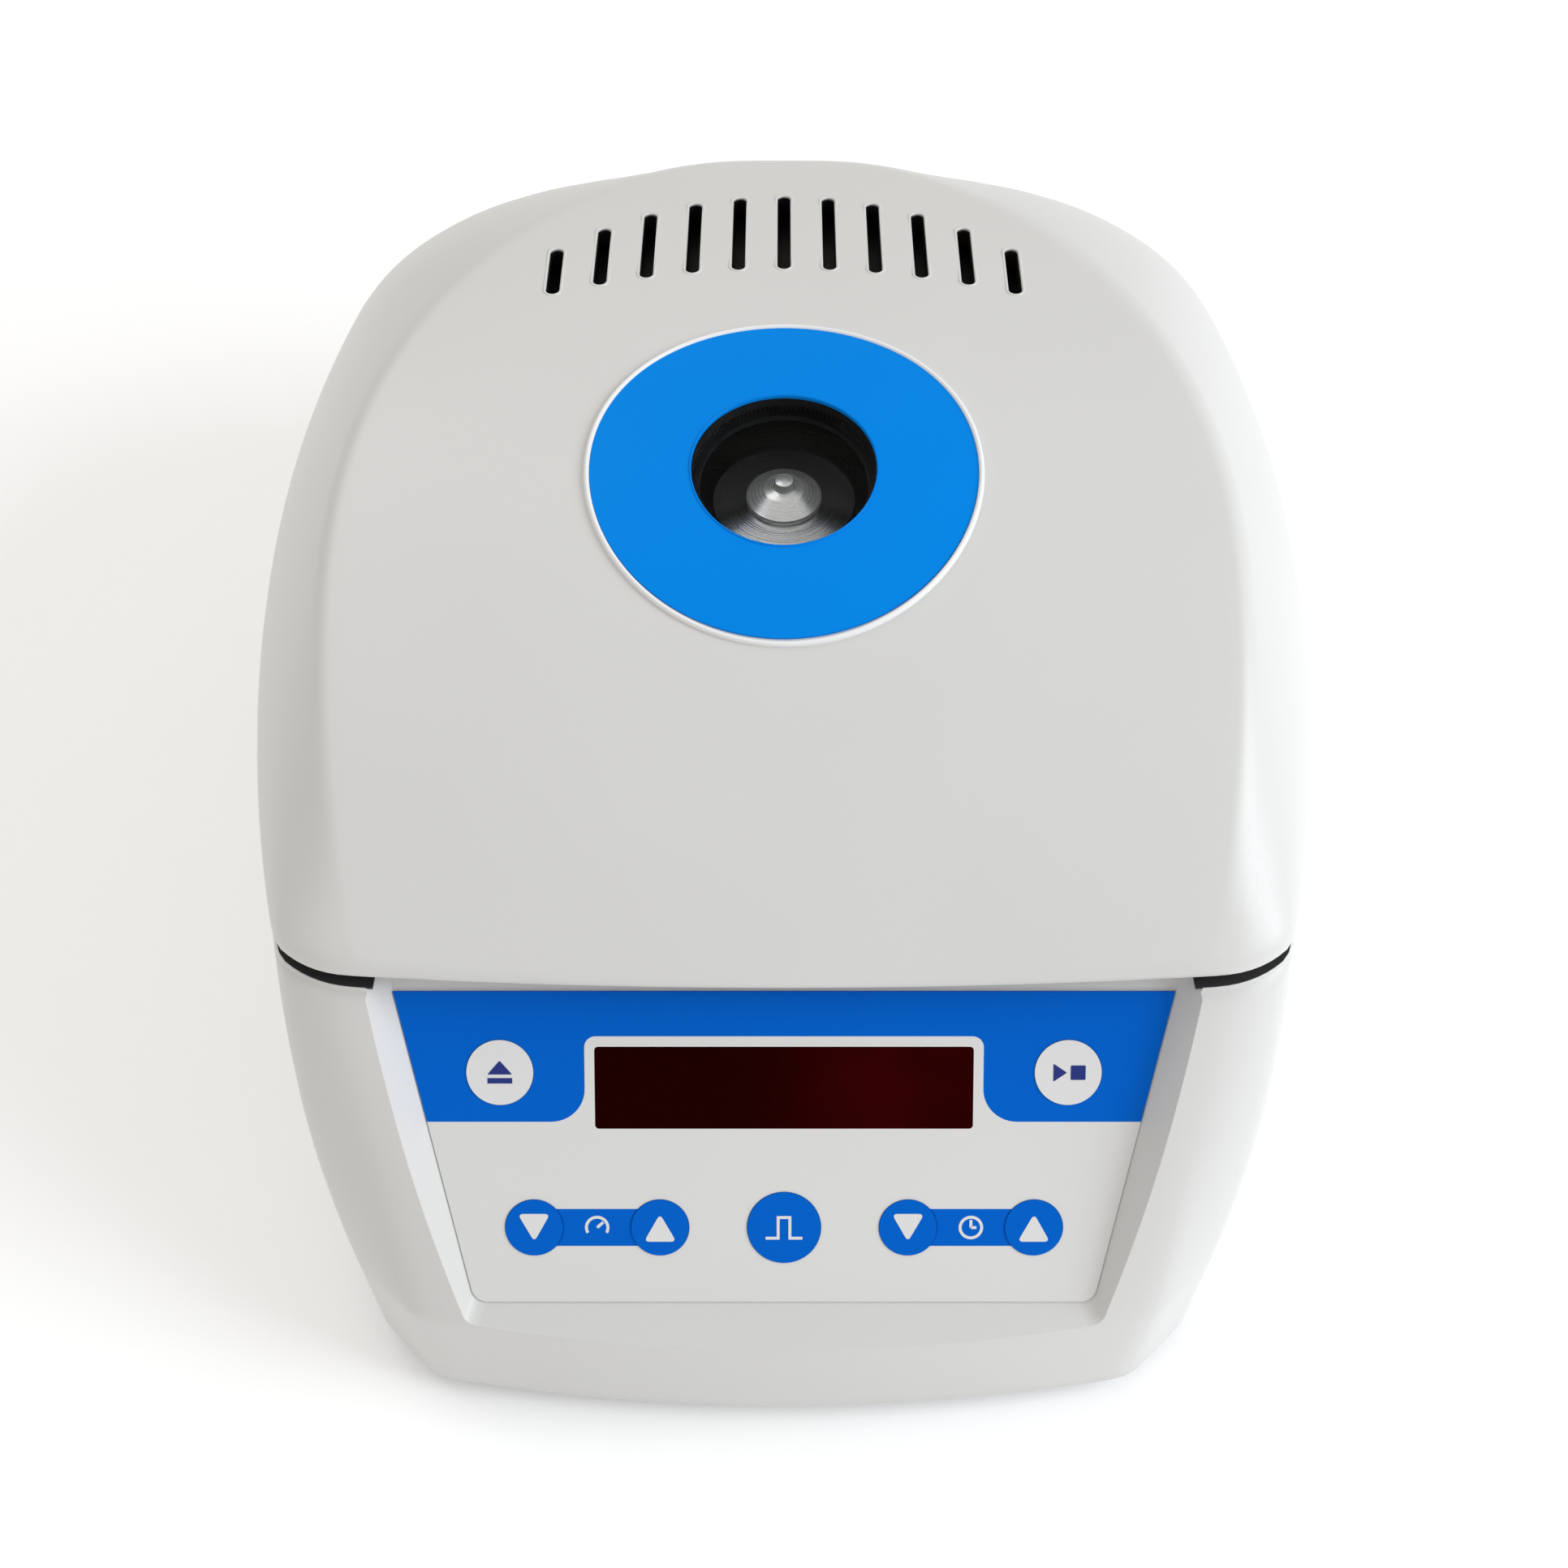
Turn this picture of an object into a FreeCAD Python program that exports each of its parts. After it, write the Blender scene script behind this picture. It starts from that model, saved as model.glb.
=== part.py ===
import FreeCAD, Part
import math
import os
import re

import Sketcher
from FreeCAD import Placement, Rotation, Vector

# Bench microcentrifuge, in millimetres. X runs to the right, Y to the back and Z up. The origin lies on
# the table, under the middle of the whole object.

# Driving dimensions: alias, value and what it measures.
SIZES = (
    # Body
    ("body_depth", 289.4, "shell, from the bumper to the back wall"),
    ("hinge_reach", 10.0, "how far the hinges stand behind the back wall"),
    ("widest_setback", 160.5, "from the bumper back to the widest place"),
    ("corner_radius", 59.5, "back corners of the shell in plan"),
    ("wall", 3.0, "moulded wall of lid and base"),
    ("foot_height", 5.0, "table to the underside of the base"),
    ("base_top", 84.8, "table to the deck of the base"),
    ("lid_gap", 3.4, "open seam between base and lid"),
    ("lip_height", 31.2, "table to the upper edge of the bumper"),
    # Plan of the base at its underside
    ("bottom_setback", 0.0, "front, measured from the bumper"),
    ("bottom_crease_x", 73.2, "half width of the front face"),
    ("bottom_bow", 6.4, "how far the front face bows"),
    ("bottom_facet_x", 14.1, "corner facet, across"),
    ("bottom_facet_y", 14.2, "corner facet, along"),
    ("bottom_facet_bulge", 0.3, "how far the corner facet bulges"),
    ("bottom_half_width", 102.0, "half of the widest place"),
    # Plan of the base at the bumper's upper edge
    ("lip_setback", 2.2, "front, measured from the bumper"),
    ("lip_crease_x", 76.0, "half width of the front face"),
    ("lip_bow", 6.4, "how far the front face bows"),
    ("lip_facet_x", 13.6, "corner facet, across"),
    ("lip_facet_y", 13.0, "corner facet, along"),
    ("lip_facet_bulge", 0.4, "how far the corner facet bulges"),
    ("lip_half_width", 107.0, "half of the widest place"),
    # Plan of the base halfway up
    ("waist_height", 60.0, "table to this plan"),
    ("waist_setback", 25.5, "front, measured from the bumper"),
    ("waist_crease_x", 81.5, "half width of the front face"),
    ("waist_bow", 4.9, "how far the front face bows"),
    ("waist_facet_x", 17.0, "corner facet, across"),
    ("waist_facet_y", 10.8, "corner facet, along"),
    ("waist_facet_bulge", 1.2, "how far the corner facet bulges"),
    ("waist_half_width", 112.3, "half of the widest place"),
    # Plan of the base at its deck
    ("deck_setback", 50.6, "front, measured from the bumper"),
    ("deck_crease_x", 86.2, "half width of the front face"),
    ("deck_bow", 3.0, "how far the front face bows"),
    ("deck_facet_x", 15.9, "corner facet, across"),
    ("deck_facet_y", 7.9, "corner facet, along"),
    ("deck_facet_bulge", 1.7, "how far the corner facet bulges"),
    ("deck_half_width", 114.6, "half of the widest place"),
    # Plan of the lid's rim
    ("rim_setback", 51.3, "front, measured from the bumper"),
    ("rim_crease_x", 85.8, "half width of the front edge"),
    ("rim_bow", 2.8, "how far the front edge bows"),
    ("rim_facet_x", 16.1, "corner facet, across"),
    ("rim_facet_y", 7.95, "corner facet, along"),
    ("rim_facet_bulge", 1.9, "how far the corner facet bulges"),
    ("rim_half_width", 115.3, "half of the widest place"),
    ("rim_land", 1.0, "upright edge of the rim"),
    # Dome of the lid
    ("dome_radius", 256.0, "arc of the lid, front to back"),
    ("dome_height", 131.5, "table to the crest of the lid"),
    ("crest_setback", 191.8, "from the bumper back to the crest"),
    ("crease_half_width", 95.0, "half width of the lid's crown"),
    ("crease_setback", 130.6, "from the bumper back to the crown's widest place"),
    ("crease_rear_radius", 175.0, "crown's sides behind the widest place, in plan"),
    ("crease_corner_radius", 28.0, "crown's back corners in plan"),
    ("crease_back_inset", 10.8, "crown's back edge in front of the back wall"),
    ("crease_softness", 7.0, "rounding of the crown's edge"),
    ("side_lean", 0.2, "share of the sides' lean that starts at the rim"),
    # Viewing port
    ("window_setback", 155.3, "from the bumper back to the middle of the port"),
    ("window_tilt", 8.6, "slope of the lid at the port, in degrees"),
    ("ring_radius", 42.3, "outside of the ring round the label"),
    ("ring_rise", 1.0, "ring above the lid"),
    ("label_radius", 41.0, "outside of the label"),
    ("label_rise", 0.5, "label above the lid"),
    ("port_radius", 19.6, "clear opening of the port"),
    ("port_wall", 2.0, "wall of the port's tube"),
    ("port_top", 1.2, "tube's upper edge below the lid's surface"),
    ("port_depth", 7.0, "tube's lower edge below the lid's surface"),
    ("pane_ledge", 1.6, "ledge under the window pane"),
    ("pane_thickness", 1.5, "clear window pane"),
    # Air slots
    ("slot_count", 11, "slots in the row"),
    ("slot_pitch", 10.4, "slot to slot"),
    ("slot_width", 3.2, "across a slot"),
    ("slot_length", 33.7, "middle slot, end to end"),
    ("slot_taper", 0.466, "share of the length that the outermost slot loses"),
    ("slot_front", 218.1, "from the bumper back to the middle slot's front end"),
    ("slot_row_bow", 9.6, "how far the row's ends come forward"),
    # Liner of the lid
    ("liner_wall", 1.5, "moulded wall of the liner"),
    ("liner_top", 108.0, "table to the underside of the liner's top"),
    ("liner_hole", 24.0, "radius of the hole under the port"),
    ("liner_top_radius", 50.0, "flat top of the liner"),
    ("liner_foot_radius", 71.0, "foot of the liner's cone"),
    ("liner_flange", 84.5, "outside of the liner's flange"),
    ("liner_lift", 0.8, "liner above the rim of the lid"),
    ("liner_boss_radius", 4.0, "posts that carry the liner"),
    ("liner_boss_x", 66.0, "posts from the rotor's axis, across"),
    ("liner_boss_y", 40.0, "posts from the rotor's axis, along"),
    ("gasket_inner", 80.5, "lid gasket, inside"),
    ("gasket_outer", 84.0, "lid gasket, outside"),
    ("gasket_gap", 0.3, "lid gasket above the bowl's seal"),
    # Rotor chamber
    ("axis_setback", 163.7, "from the bumper back to the rotor's axis"),
    ("bowl_inner", 79.0, "radius inside the bowl"),
    ("bowl_wall", 1.2, "pressed steel of the bowl"),
    ("bowl_floor", 46.0, "table to the bowl's floor"),
    ("bowl_flange", 84.5, "outside of the bowl's flange"),
    ("bowl_hole", 14.0, "radius of the hole for the motor's nose"),
    ("bowl_fit", 0.3, "bowl to the deck's opening"),
    ("seal_inner", 81.0, "bowl seal, inside"),
    ("seal_height", 1.6, "bowl seal above the flange"),
    # Rotor
    ("rotor_radius", 74.0, "widest part of the rotor"),
    ("rotor_bottom", 53.0, "table to the rotor's underside"),
    ("rotor_foot", 46.0, "flat underside of the rotor"),
    ("rotor_edge", 7.5, "height of the rotor's widest edge"),
    ("rotor_shoulder", 68.0, "table to the rotor's widest edge"),
    ("rotor_rim", 50.0, "outside of the rotor's upper rim"),
    ("rotor_top", 101.0, "table to the rotor's upper rim"),
    ("funnel_rim", 47.0, "inside of the rotor's upper rim"),
    ("funnel_floor", 19.0, "radius where the funnel meets its floor"),
    ("hub_radius", 15.5, "post in the funnel"),
    ("hub_top", 111.0, "table to the top of the post"),
    ("tube_count", 12, "places for tubes"),
    ("tube_radius", 5.6, "radius of a tube's hole"),
    ("tube_depth", 36.0, "depth of a tube's hole"),
    ("tube_circle", 32.0, "mouths of the tube holes, from the axis"),
    ("tube_angle", 45.0, "slant of the tube holes, in degrees"),
    ("nut_radius", 8.25, "rotor nut's flange"),
    ("nut_flange", 1.5, "height of the nut's flange"),
    ("nut_cone", 2.2, "height of the nut's cone"),
    ("nut_neck", 4.3, "radius of the nut's cone at its top"),
    ("nut_pin", 2.15, "radius of the nut's pin"),
    ("nut_height", 6.0, "whole nut"),
    ("shaft_radius", 4.0, "drive shaft"),
    ("shaft_collar", 7.0, "collar under the rotor"),
    ("running_clearance", 0.03, "shaft in its bearings"),
    # Motor
    ("motor_radius", 38.0, "outside of the motor"),
    ("motor_wall", 4.0, "wall of the motor's housing"),
    ("motor_height", 25.5, "motor without its nose"),
    ("motor_floor", 3.0, "floor and roof of the motor's housing"),
    ("motor_nose", 12.5, "radius of the motor's nose"),
    ("motor_nose_rise", 3.0, "nose above the housing"),
    ("bearing_radius", 9.5, "outside of a bearing"),
    ("bearing_width", 6.0, "width of a bearing"),
    ("bearing_sill", 1.5, "metal behind a bearing"),
    ("stator_inner", 22.5, "radius inside the stator"),
    ("stator_height", 9.0, "stack of the stator"),
    ("magnet_radius", 21.9, "radius of the motor's rotor"),
    ("mount_plate_width", 108.0, "motor plate, across"),
    ("mount_plate_depth", 96.0, "motor plate, along"),
    ("mount_plate", 2.5, "thickness of the motor plate"),
    ("mount_height", 8.0, "rubber mounts under the motor plate"),
    ("mount_radius", 7.0, "rubber mounts"),
    ("mount_inset", 9.0, "rubber mounts from the plate's edges"),
    # Floor
    ("plate", 1.5, "sheet metal floor"),
    ("plate_fit", 0.3, "floor to the walls"),
    ("foot_radius", 9.0, "rubber feet"),
    ("foot_x", 64.0, "feet from the middle line"),
    ("front_foot_setback", 36.0, "front feet from the bumper"),
    ("back_foot_setback", 252.0, "back feet from the bumper"),
    ("boss_width", 20.0, "screw posts at the walls, along"),
    ("boss_height", 20.0, "screw posts at the walls, up"),
    ("boss_inner_x", 82.0, "inner face of the screw posts"),
    ("front_boss_setback", 68.0, "front screw posts from the bumper"),
    ("back_boss_setback", 205.0, "back screw posts from the bumper"),
    ("floor_screw_x", 88.0, "floor screws from the middle line"),
    # Screws
    ("screw_shank", 1.5, "radius of a small screw"),
    ("screw_head", 3.0, "radius of a small screw's head"),
    ("screw_head_height", 1.7, "height of a small screw's head"),
    ("screw_length", 9.0, "small screw under its head"),
    ("screw_room", 0.2, "radial room round a screw where it passes through"),
    # Panel
    ("panel_angle", 47.0, "slope of the panel, in degrees"),
    ("panel_setback", 55.8, "from the bumper back to the panel's upper edge"),
    ("panel_height", 80.4, "table to the panel's upper edge"),
    ("panel_length", 65.4, "panel, along the slope"),
    ("panel_top_half", 78.6, "half width at the upper edge"),
    ("panel_bottom_half", 63.5, "half width at the lower edge"),
    ("panel_corner", 3.3, "rounding of the lower corners"),
    ("recess_flare", 13.0, "how far the recess's walls lean out"),
    ("recess_reach", 14.0, "height over which they lean"),
    ("film", 0.5, "thickness of the overlay"),
    ("ledge", 4.5, "housing's ledge under the overlay's edge"),
    ("carrier", 2.0, "thickness of the carrier"),
    ("carrier_fit", 0.3, "carrier to the ledge"),
    ("band_length", 27.15, "blue band, down the slope"),
    ("band_corner", 6.9, "band's lower corners beside the display"),
    ("frame_top", 9.3, "display's surround, down the slope"),
    ("frame_half", 40.3, "half width of the display's surround"),
    ("frame_corner", 2.3, "surround's upper corners"),
    ("lens_top", 11.45, "display's upper edge, down the slope"),
    ("lens_bottom", 28.6, "display's lower edge, down the slope"),
    ("lens_half", 38.3, "half width of the display"),
    ("lens_corner", 0.8, "corners of the display"),
    ("key_upper_drop", 16.8, "upper keys, down the slope"),
    ("key_upper_x", 57.4, "upper keys from the middle line"),
    ("key_upper_radius", 6.75, "upper keys"),
    ("key_lower_drop", 49.5, "lower keys, down the slope"),
    ("key_inner_x", 25.3, "inner speed and time keys"),
    ("key_outer_x", 51.0, "outer speed and time keys"),
    ("key_lower_radius", 5.9, "speed and time keys"),
    ("key_short_radius", 7.5, "short-spin key"),
    ("key_proud", 0.2, "keys above the overlay"),
    ("key_cap", 1.7, "thickness of a key's cap"),
    ("key_clearance", 0.1, "key to the overlay"),
    ("key_stem", 1.8, "radius of a key's stem"),
    ("key_travel", 0.5, "travel of a key"),
    ("key_rest_gap", 0.15, "stem to its switch when the key is down"),
    ("key_room", 0.6, "key to the carrier"),
    ("bar_width", 7.9, "bars between the speed and time keys"),
    ("board_drop", 8.0, "control board behind the overlay's face"),
    ("board", 1.6, "thickness of a circuit board"),
    ("board_half", 60.0, "half width of the control board"),
    ("board_top", 9.5, "control board's upper edge, down the slope"),
    ("board_bottom", 58.0, "control board's lower edge, down the slope"),
    ("switch_size", 6.0, "key switch, each side"),
    ("switch_height", 1.2, "key switch"),
    ("module_half", 37.5, "half width of the display module"),
    ("spacer_radius", 2.5, "spacers between carrier and board"),
    # Latch
    ("latch_setback", 68.0, "from the bumper back to the striker's bar"),
    ("bar_height", 76.5, "table to the striker's bar"),
    ("bar_radius", 1.2, "striker's bar"),
    ("striker_half", 9.0, "striker's legs from the middle line"),
    ("leg_width", 5.0, "striker's legs, along"),
    ("leg", 2.0, "sheet of the striker"),
    ("striker_plate_half", 14.0, "half width of the striker's plate"),
    ("striker_plate_depth", 7.6, "striker's plate, along"),
    ("striker_plate_lift", 1.8, "striker's plate above the lid's rim"),
    ("latch_slot_half", 12.0, "half width of the slot in the deck"),
    ("latch_slot_depth", 8.6, "slot in the deck, along"),
    ("hook_half", 4.0, "half width of the hook"),
    ("hook", 2.5, "thickness of the hook"),
    ("hook_gap", 0.45, "hook to the striker's bar"),
    ("hook_bite", 1.2, "hook past the bar's middle"),
    ("pivot_height", 58.0, "table to the hook's pin"),
    ("pivot_radius", 1.5, "hook's pin"),
    ("pivot_eye", 3.6, "hook's eye round the pin"),
    ("hook_tail", 9.0, "hook's tail below the pin"),
    ("hook_nose", 1.7, "height of the hook's nose and of the plunger's cap"),
    ("frame_half_width", 14.0, "latch frame's ears from the middle line"),
    ("frame_sheet", 1.5, "sheet of the latch frame"),
    ("frame_depth", 15.0, "latch frame, along"),
    ("frame_lead", 8.0, "latch frame's front ahead of the hook's pin"),
    ("frame_flange", 7.0, "latch frame's flanges under the deck"),
    ("frame_bottom", 53.5, "table to the latch frame's lower edge"),
    ("plunger_radius", 3.0, "solenoid's plunger"),
    ("plunger_neck", 1.2, "plunger's neck through the hook's tail"),
    ("tail_slot", 2.1, "radius of the hole in the hook's tail"),
    ("plunger_head", 2.6, "head behind the hook's tail"),
    ("plunger_gap", 0.8, "plunger to the hook's tail"),
    ("solenoid_length", 13.0, "solenoid, along"),
    ("solenoid_width", 16.0, "solenoid, across and up"),
    # Hinges
    ("hinge_x", 20.0, "hinges from the middle line"),
    ("hinge_height", 87.0, "table to the hinge's pin"),
    ("barrel_radius", 4.0, "hinge's barrel"),
    ("hinge_pin_radius", 2.0, "hinge's pin"),
    ("hinge_clearance", 0.06, "pin in the lid's knuckles"),
    ("leaf", 2.0, "thickness of a hinge's leaf"),
    ("leaf_width", 24.0, "width of a hinge's leaf"),
    ("leaf_height", 22.0, "base leaf"),
    ("lid_leaf_height", 9.0, "lid leaf"),
    ("knuckle", 14.0, "base knuckle, along the pin"),
    ("knuckle_gap", 0.5, "between knuckles"),
    ("hinge_boss_depth", 9.0, "lid's post behind the lid leaf"),
    # Mains inlet and switch
    ("inlet_x", 16.0, "inlet to the left of the middle line, seen from the front"),
    ("inlet_height", 36.0, "table to the inlet's middle"),
    ("inlet_width", 27.0, "inlet's body, across"),
    ("inlet_tall", 19.5, "inlet's body, up"),
    ("inlet_depth", 22.0, "inlet's body, along"),
    ("inlet_flange_width", 48.0, "inlet's flange, across"),
    ("inlet_flange_tall", 24.0, "inlet's flange, up"),
    ("inlet_flange", 2.0, "inlet's flange"),
    ("socket_width", 24.0, "inlet's recess, across"),
    ("socket_tall", 16.5, "inlet's recess, up"),
    ("socket_depth", 16.0, "inlet's recess, along"),
    ("pin_width", 4.0, "inlet's pins, up"),
    ("pin_thickness", 2.0, "inlet's pins, across"),
    ("pin_length", 14.0, "inlet's pins, along"),
    ("pin_pitch", 7.0, "outer pins from the middle pin"),
    ("pin_raise", 2.0, "middle pin above the others, half of it"),
    ("rocker_x", 24.0, "power switch to the right of the middle line"),
    ("rocker_width", 11.0, "rocker, across"),
    ("rocker_tall", 20.0, "rocker, up"),
    ("rocker_sink", 4.5, "rocker's axis behind the bezel's face"),
    ("rocker_front", 3.0, "rocker's middle in front of its axis"),
    ("rocker_back", 3.0, "rocker's back behind its axis"),
    ("rocker_gap", 0.9, "rocker to its bezel"),
    ("rocker_throw", 8.0, "tilt of the rocker each way, in degrees"),
    ("rocker_pin", 1.2, "rocker's trunnions"),
    ("rocker_pin_length", 1.6, "rocker's trunnions past its sides"),
    ("rocker_fit", 0.05, "trunnions in the bezel"),
    ("bezel_wall", 2.5, "wall of the switch's bezel"),
    ("bezel_depth", 20.0, "switch's body"),
    ("bezel_flange", 2.0, "switch's flange"),
    ("bezel_lip", 2.0, "switch's flange beyond its body"),
    ("bezel_floor", 6.0, "floor of the switch's body"),
    ("wall_fit", 0.2, "inlet and switch to the back wall"),
    # Power supply
    ("supply_width", 104.0, "supply board, across"),
    ("supply_depth", 46.0, "supply board, along"),
    ("supply_setback", 242.0, "from the bumper back to the supply board's middle"),
    ("supply_lift", 8.0, "supply board above the floor"),
    ("supply_spacer", 3.0, "spacers under the supply board"),
    ("supply_spacer_inset", 5.0, "spacers from the board's edges"),
    ("choke_size", 26.0, "line transformer, each side"),
    ("choke_height", 22.0, "line transformer"),
    ("capacitor_radius", 8.0, "supply capacitor"),
    ("capacitor_height", 24.0, "supply capacitor"),
    ("sink_width", 30.0, "heat sink, across"),
    ("sink_depth", 10.0, "heat sink, along"),
    ("sink_height", 20.0, "heat sink"),
)

doc = FreeCAD.newDocument("microcentrifuge")
sheet = doc.addObject("Spreadsheet::Sheet", "Sizes")
for row, (alias, value, note) in enumerate(SIZES, start=1):
    sheet.set(f"A{row}", note)
    sheet.set(f"B{row}", str(value))
    sheet.setAlias(f"B{row}", alias)
doc.recompute()

ALIASES = {alias for alias, value, note in SIZES}
nodes = {}


def size(alias):
    """The value in the sheet's cell of that name."""
    return float(sheet.get(alias))


def linked(formula):
    """The formula with each size's name turned into its cell."""
    return re.sub(r"[a-z_]+", lambda word: f"Sizes.{word[0]}" if word[0] in ALIASES else word[0], formula)


def bind(target, **formulas):
    for path, formula in formulas.items():
        target.setExpression(path, linked(formula))


def place(target, x="0", y="0", z="0"):
    for axis, formula in (("x", x), ("y", y), ("z", z)):
        target.setExpression(f"Placement.Base.{axis}", linked(formula))
    return target


def new(kind, name):
    made = doc.addObject(kind, name)
    made.Label = made.Name
    return made


def node(name, made):
    """Name a finished sub-part."""
    made.Label = name
    nodes[name] = made
    return made


def box(name, across, along, up, x="0", y="0", z="0"):
    """A block centred on x and y, standing on z."""
    made = new("Part::Box", name)
    bind(made, Length=across, Width=along, Height=up)
    return place(made, f"{x} - ({across}) / 2", f"{y} - ({along}) / 2", z)


def rod(name, radius, length, x="0", y="0", z="0", direction=Vector(0, 0, 1)):
    """A round rod that starts at x, y, z."""
    made = new("Part::Cylinder", name)
    bind(made, Radius=radius, Height=length)
    made.Placement = Placement(Vector(), Rotation(Vector(0, 0, 1), direction))
    return place(made, x, y, z)


def cut(name, base, *tools):
    made = new("Part::Cut", name)
    made.Base = base
    made.Tool = tools[0] if len(tools) == 1 else fuse(f"{name}_tools", *tools)
    return made


def fuse(name, *pieces):
    made = new("Part::MultiFuse", name)
    made.Shapes = list(pieces)
    return made


def group(name, *pieces):
    """Separate solids that share one node."""
    made = new("Part::Compound", name)
    made.Links = list(pieces)
    return made


def feature(name, shape):
    made = new("Part::Feature", name)
    made.Shape = shape
    return made


LEVEL_AXIS = -1
UPRIGHT_AXIS = -2


def sketched(name, plane, points):
    """A body with a closed sketch of straight lines, its corners bound to the sheet."""
    body = new("PartDesign::Body", name)
    sketch = body.newObject("Sketcher::SketchObject", f"{name}_sketch")
    support = [origin for origin in body.Origin.OriginFeatures if origin.Role == plane]
    sketch.AttachmentSupport = [(support[0], "")]
    sketch.MapMode = "FlatFace"
    corners = [Vector(evaluated(across), evaluated(up), 0) for across, up in points]
    for start, end in zip(corners, corners[1:] + corners[:1]):
        sketch.addGeometry(Part.LineSegment(start, end), False)
    for index, (across, up) in enumerate(points):
        following = (index + 1) % len(points)
        sketch.addConstraint(Sketcher.Constraint("Coincident", index, 2, following, 1))
    for index, (across, up) in enumerate(points):
        places = ((UPRIGHT_AXIS, "DistanceX", across), (LEVEL_AXIS, "DistanceY", up))
        for axis, direction, formula in places:
            if formula == "0":
                sketch.addConstraint(Sketcher.Constraint("PointOnObject", index, 1, axis))
            else:
                measure(sketch, direction, index, formula)
    return body, sketch


def measure(sketch, direction, corner, formula):
    """Hold a sketch's corner at a distance from its origin."""
    distance = Sketcher.Constraint(direction, -1, 1, corner, 1, evaluated(formula))
    number = sketch.addConstraint(distance)
    sketch.setExpression(f"Constraints[{number}]", linked(formula))


def evaluated(formula):
    """The number that a formula of the sheet gives."""
    return float(sheet.evalExpression(linked(formula).replace("Sizes.", "")))


def turned(name, profile, x="0", y="0", placed=True, sweep="360"):
    """A turned piece: its profile gives radius and height, corner by corner."""
    body, sketch = sketched(name, "XZ_Plane", profile)
    revolution = body.newObject("PartDesign::Revolution", f"{name}_revolution")
    revolution.Profile = sketch
    revolution.ReferenceAxis = (sketch, ["V_Axis"])
    revolution.Midplane = True
    bind(revolution, Angle=sweep)
    return place(body, x, y) if placed else body


def padded(name, plane, outline, thickness):
    """A flat piece: its outline gives both coordinates in the plane, corner by corner."""
    body, sketch = sketched(name, plane, outline)
    pad = body.newObject("PartDesign::Pad", f"{name}_pad")
    pad.Profile = sketch
    bind(pad, Length=thickness)
    return body


# Places that several pieces share, as formulas of the sheet.
FRONT = "(-(body_depth + hinge_reach) / 2)"
BACK = f"({FRONT} + body_depth)"
AXIS_Y = f"({FRONT} + axis_setback)"
LID_BOTTOM = "(base_top + lid_gap)"
FLOOR = "(foot_height + plate)"
MOUNT_TOP = f"({FLOOR} + mount_height)"
MOTOR_BOTTOM = f"({MOUNT_TOP} + mount_plate)"
MOTOR_TOP = f"({MOTOR_BOTTOM} + motor_height)"
NOSE_TOP = f"({MOTOR_TOP} + motor_nose_rise)"
LATCH_Y = f"({FRONT} + latch_setback)"
HINGE_Y = f"({BACK} + hinge_reach - barrel_radius)"
LINER_SEAT = f"({LID_BOTTOM} + liner_lift)"
LINER_POSTS = [(f"{side} * liner_boss_x", f"{AXIS_Y} + {end} * liner_boss_y")
               for side in (-1, 1) for end in (-1, 1)]
LID_LEAF_Z = f"({LID_BOTTOM} + rim_land)"
BASE_SCREW_Z = "(base_top - rim_land - leaf_height / 2)"
LID_SCREW_Z = f"({LID_LEAF_Z} + (lid_leaf_height + leaf) / 2)"
LEAF_SCREW_X = [f"{side} * hinge_x + {end} * leaf_width / 3" for side in (-1, 1) for end in (-1, 1)]
BASE_LEAF_SPOTS = [(x, BASE_SCREW_Z) for x in LEAF_SCREW_X]
LID_LEAF_SPOTS = [(x, LID_SCREW_Z) for x in LEAF_SCREW_X]

ALONG_X = Vector(1, 0, 0)
ALONG_Y = Vector(0, 1, 0)

front = evaluated(FRONT)
back = evaluated(BACK)
axis_y = evaluated(AXIS_Y)
lid_bottom = evaluated(LID_BOTTOM)
base_top = size("base_top")
wall = size("wall")
widest_y = front + size("widest_setback")


# Plan outlines of the shells
def rear_arcs(half_width, wide_y, radius, corner, rear):
    """Points on the right-hand side, from the widest place round the back corner to the back edge."""
    centre = Vector(half_width - radius, wide_y, 0)
    reach = math.sqrt((radius - corner) ** 2 - (rear - corner - wide_y) ** 2)
    corner_centre = Vector(centre.x + reach, rear - corner, 0)
    outward = (corner_centre - centre).normalize()
    side_end = centre + outward * radius
    halfway = (outward + Vector(0, 1, 0)).normalize()
    return side_end, corner_centre + halfway * corner, Vector(corner_centre.x, rear, 0)


def mirrored(point):
    return Vector(-point.x, point.y, point.z)


def plan(level, inset=0.0):
    """Named points of a shell's plan at one level, drawn in by an inset."""
    edge = front + size(f"{level}_setback") + inset
    crease = Vector(size(f"{level}_crease_x") - inset, edge + size(f"{level}_bow"), 0)
    chord = Vector(size(f"{level}_facet_x"), size(f"{level}_facet_y"), 0)
    facet = crease + chord
    outward = Vector(chord.y, -chord.x, 0).normalize()
    bend = (crease + facet) / 2 + outward * size(f"{level}_facet_bulge")
    half_width = size(f"{level}_half_width") - inset
    widest = Vector(half_width, widest_y, 0)
    lead = widest - facet
    radius = (lead.x ** 2 + lead.y ** 2) / (2 * lead.x)
    corner = size("corner_radius") - inset
    side_end, corner_middle, corner_end = rear_arcs(half_width, widest_y, radius, corner, back - inset)
    return {"nose": Vector(0, edge, 0), "crease": crease, "bend": bend, "facet": facet, "widest": widest,
            "side_end": side_end, "corner_middle": corner_middle, "corner_end": corner_end}


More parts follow.
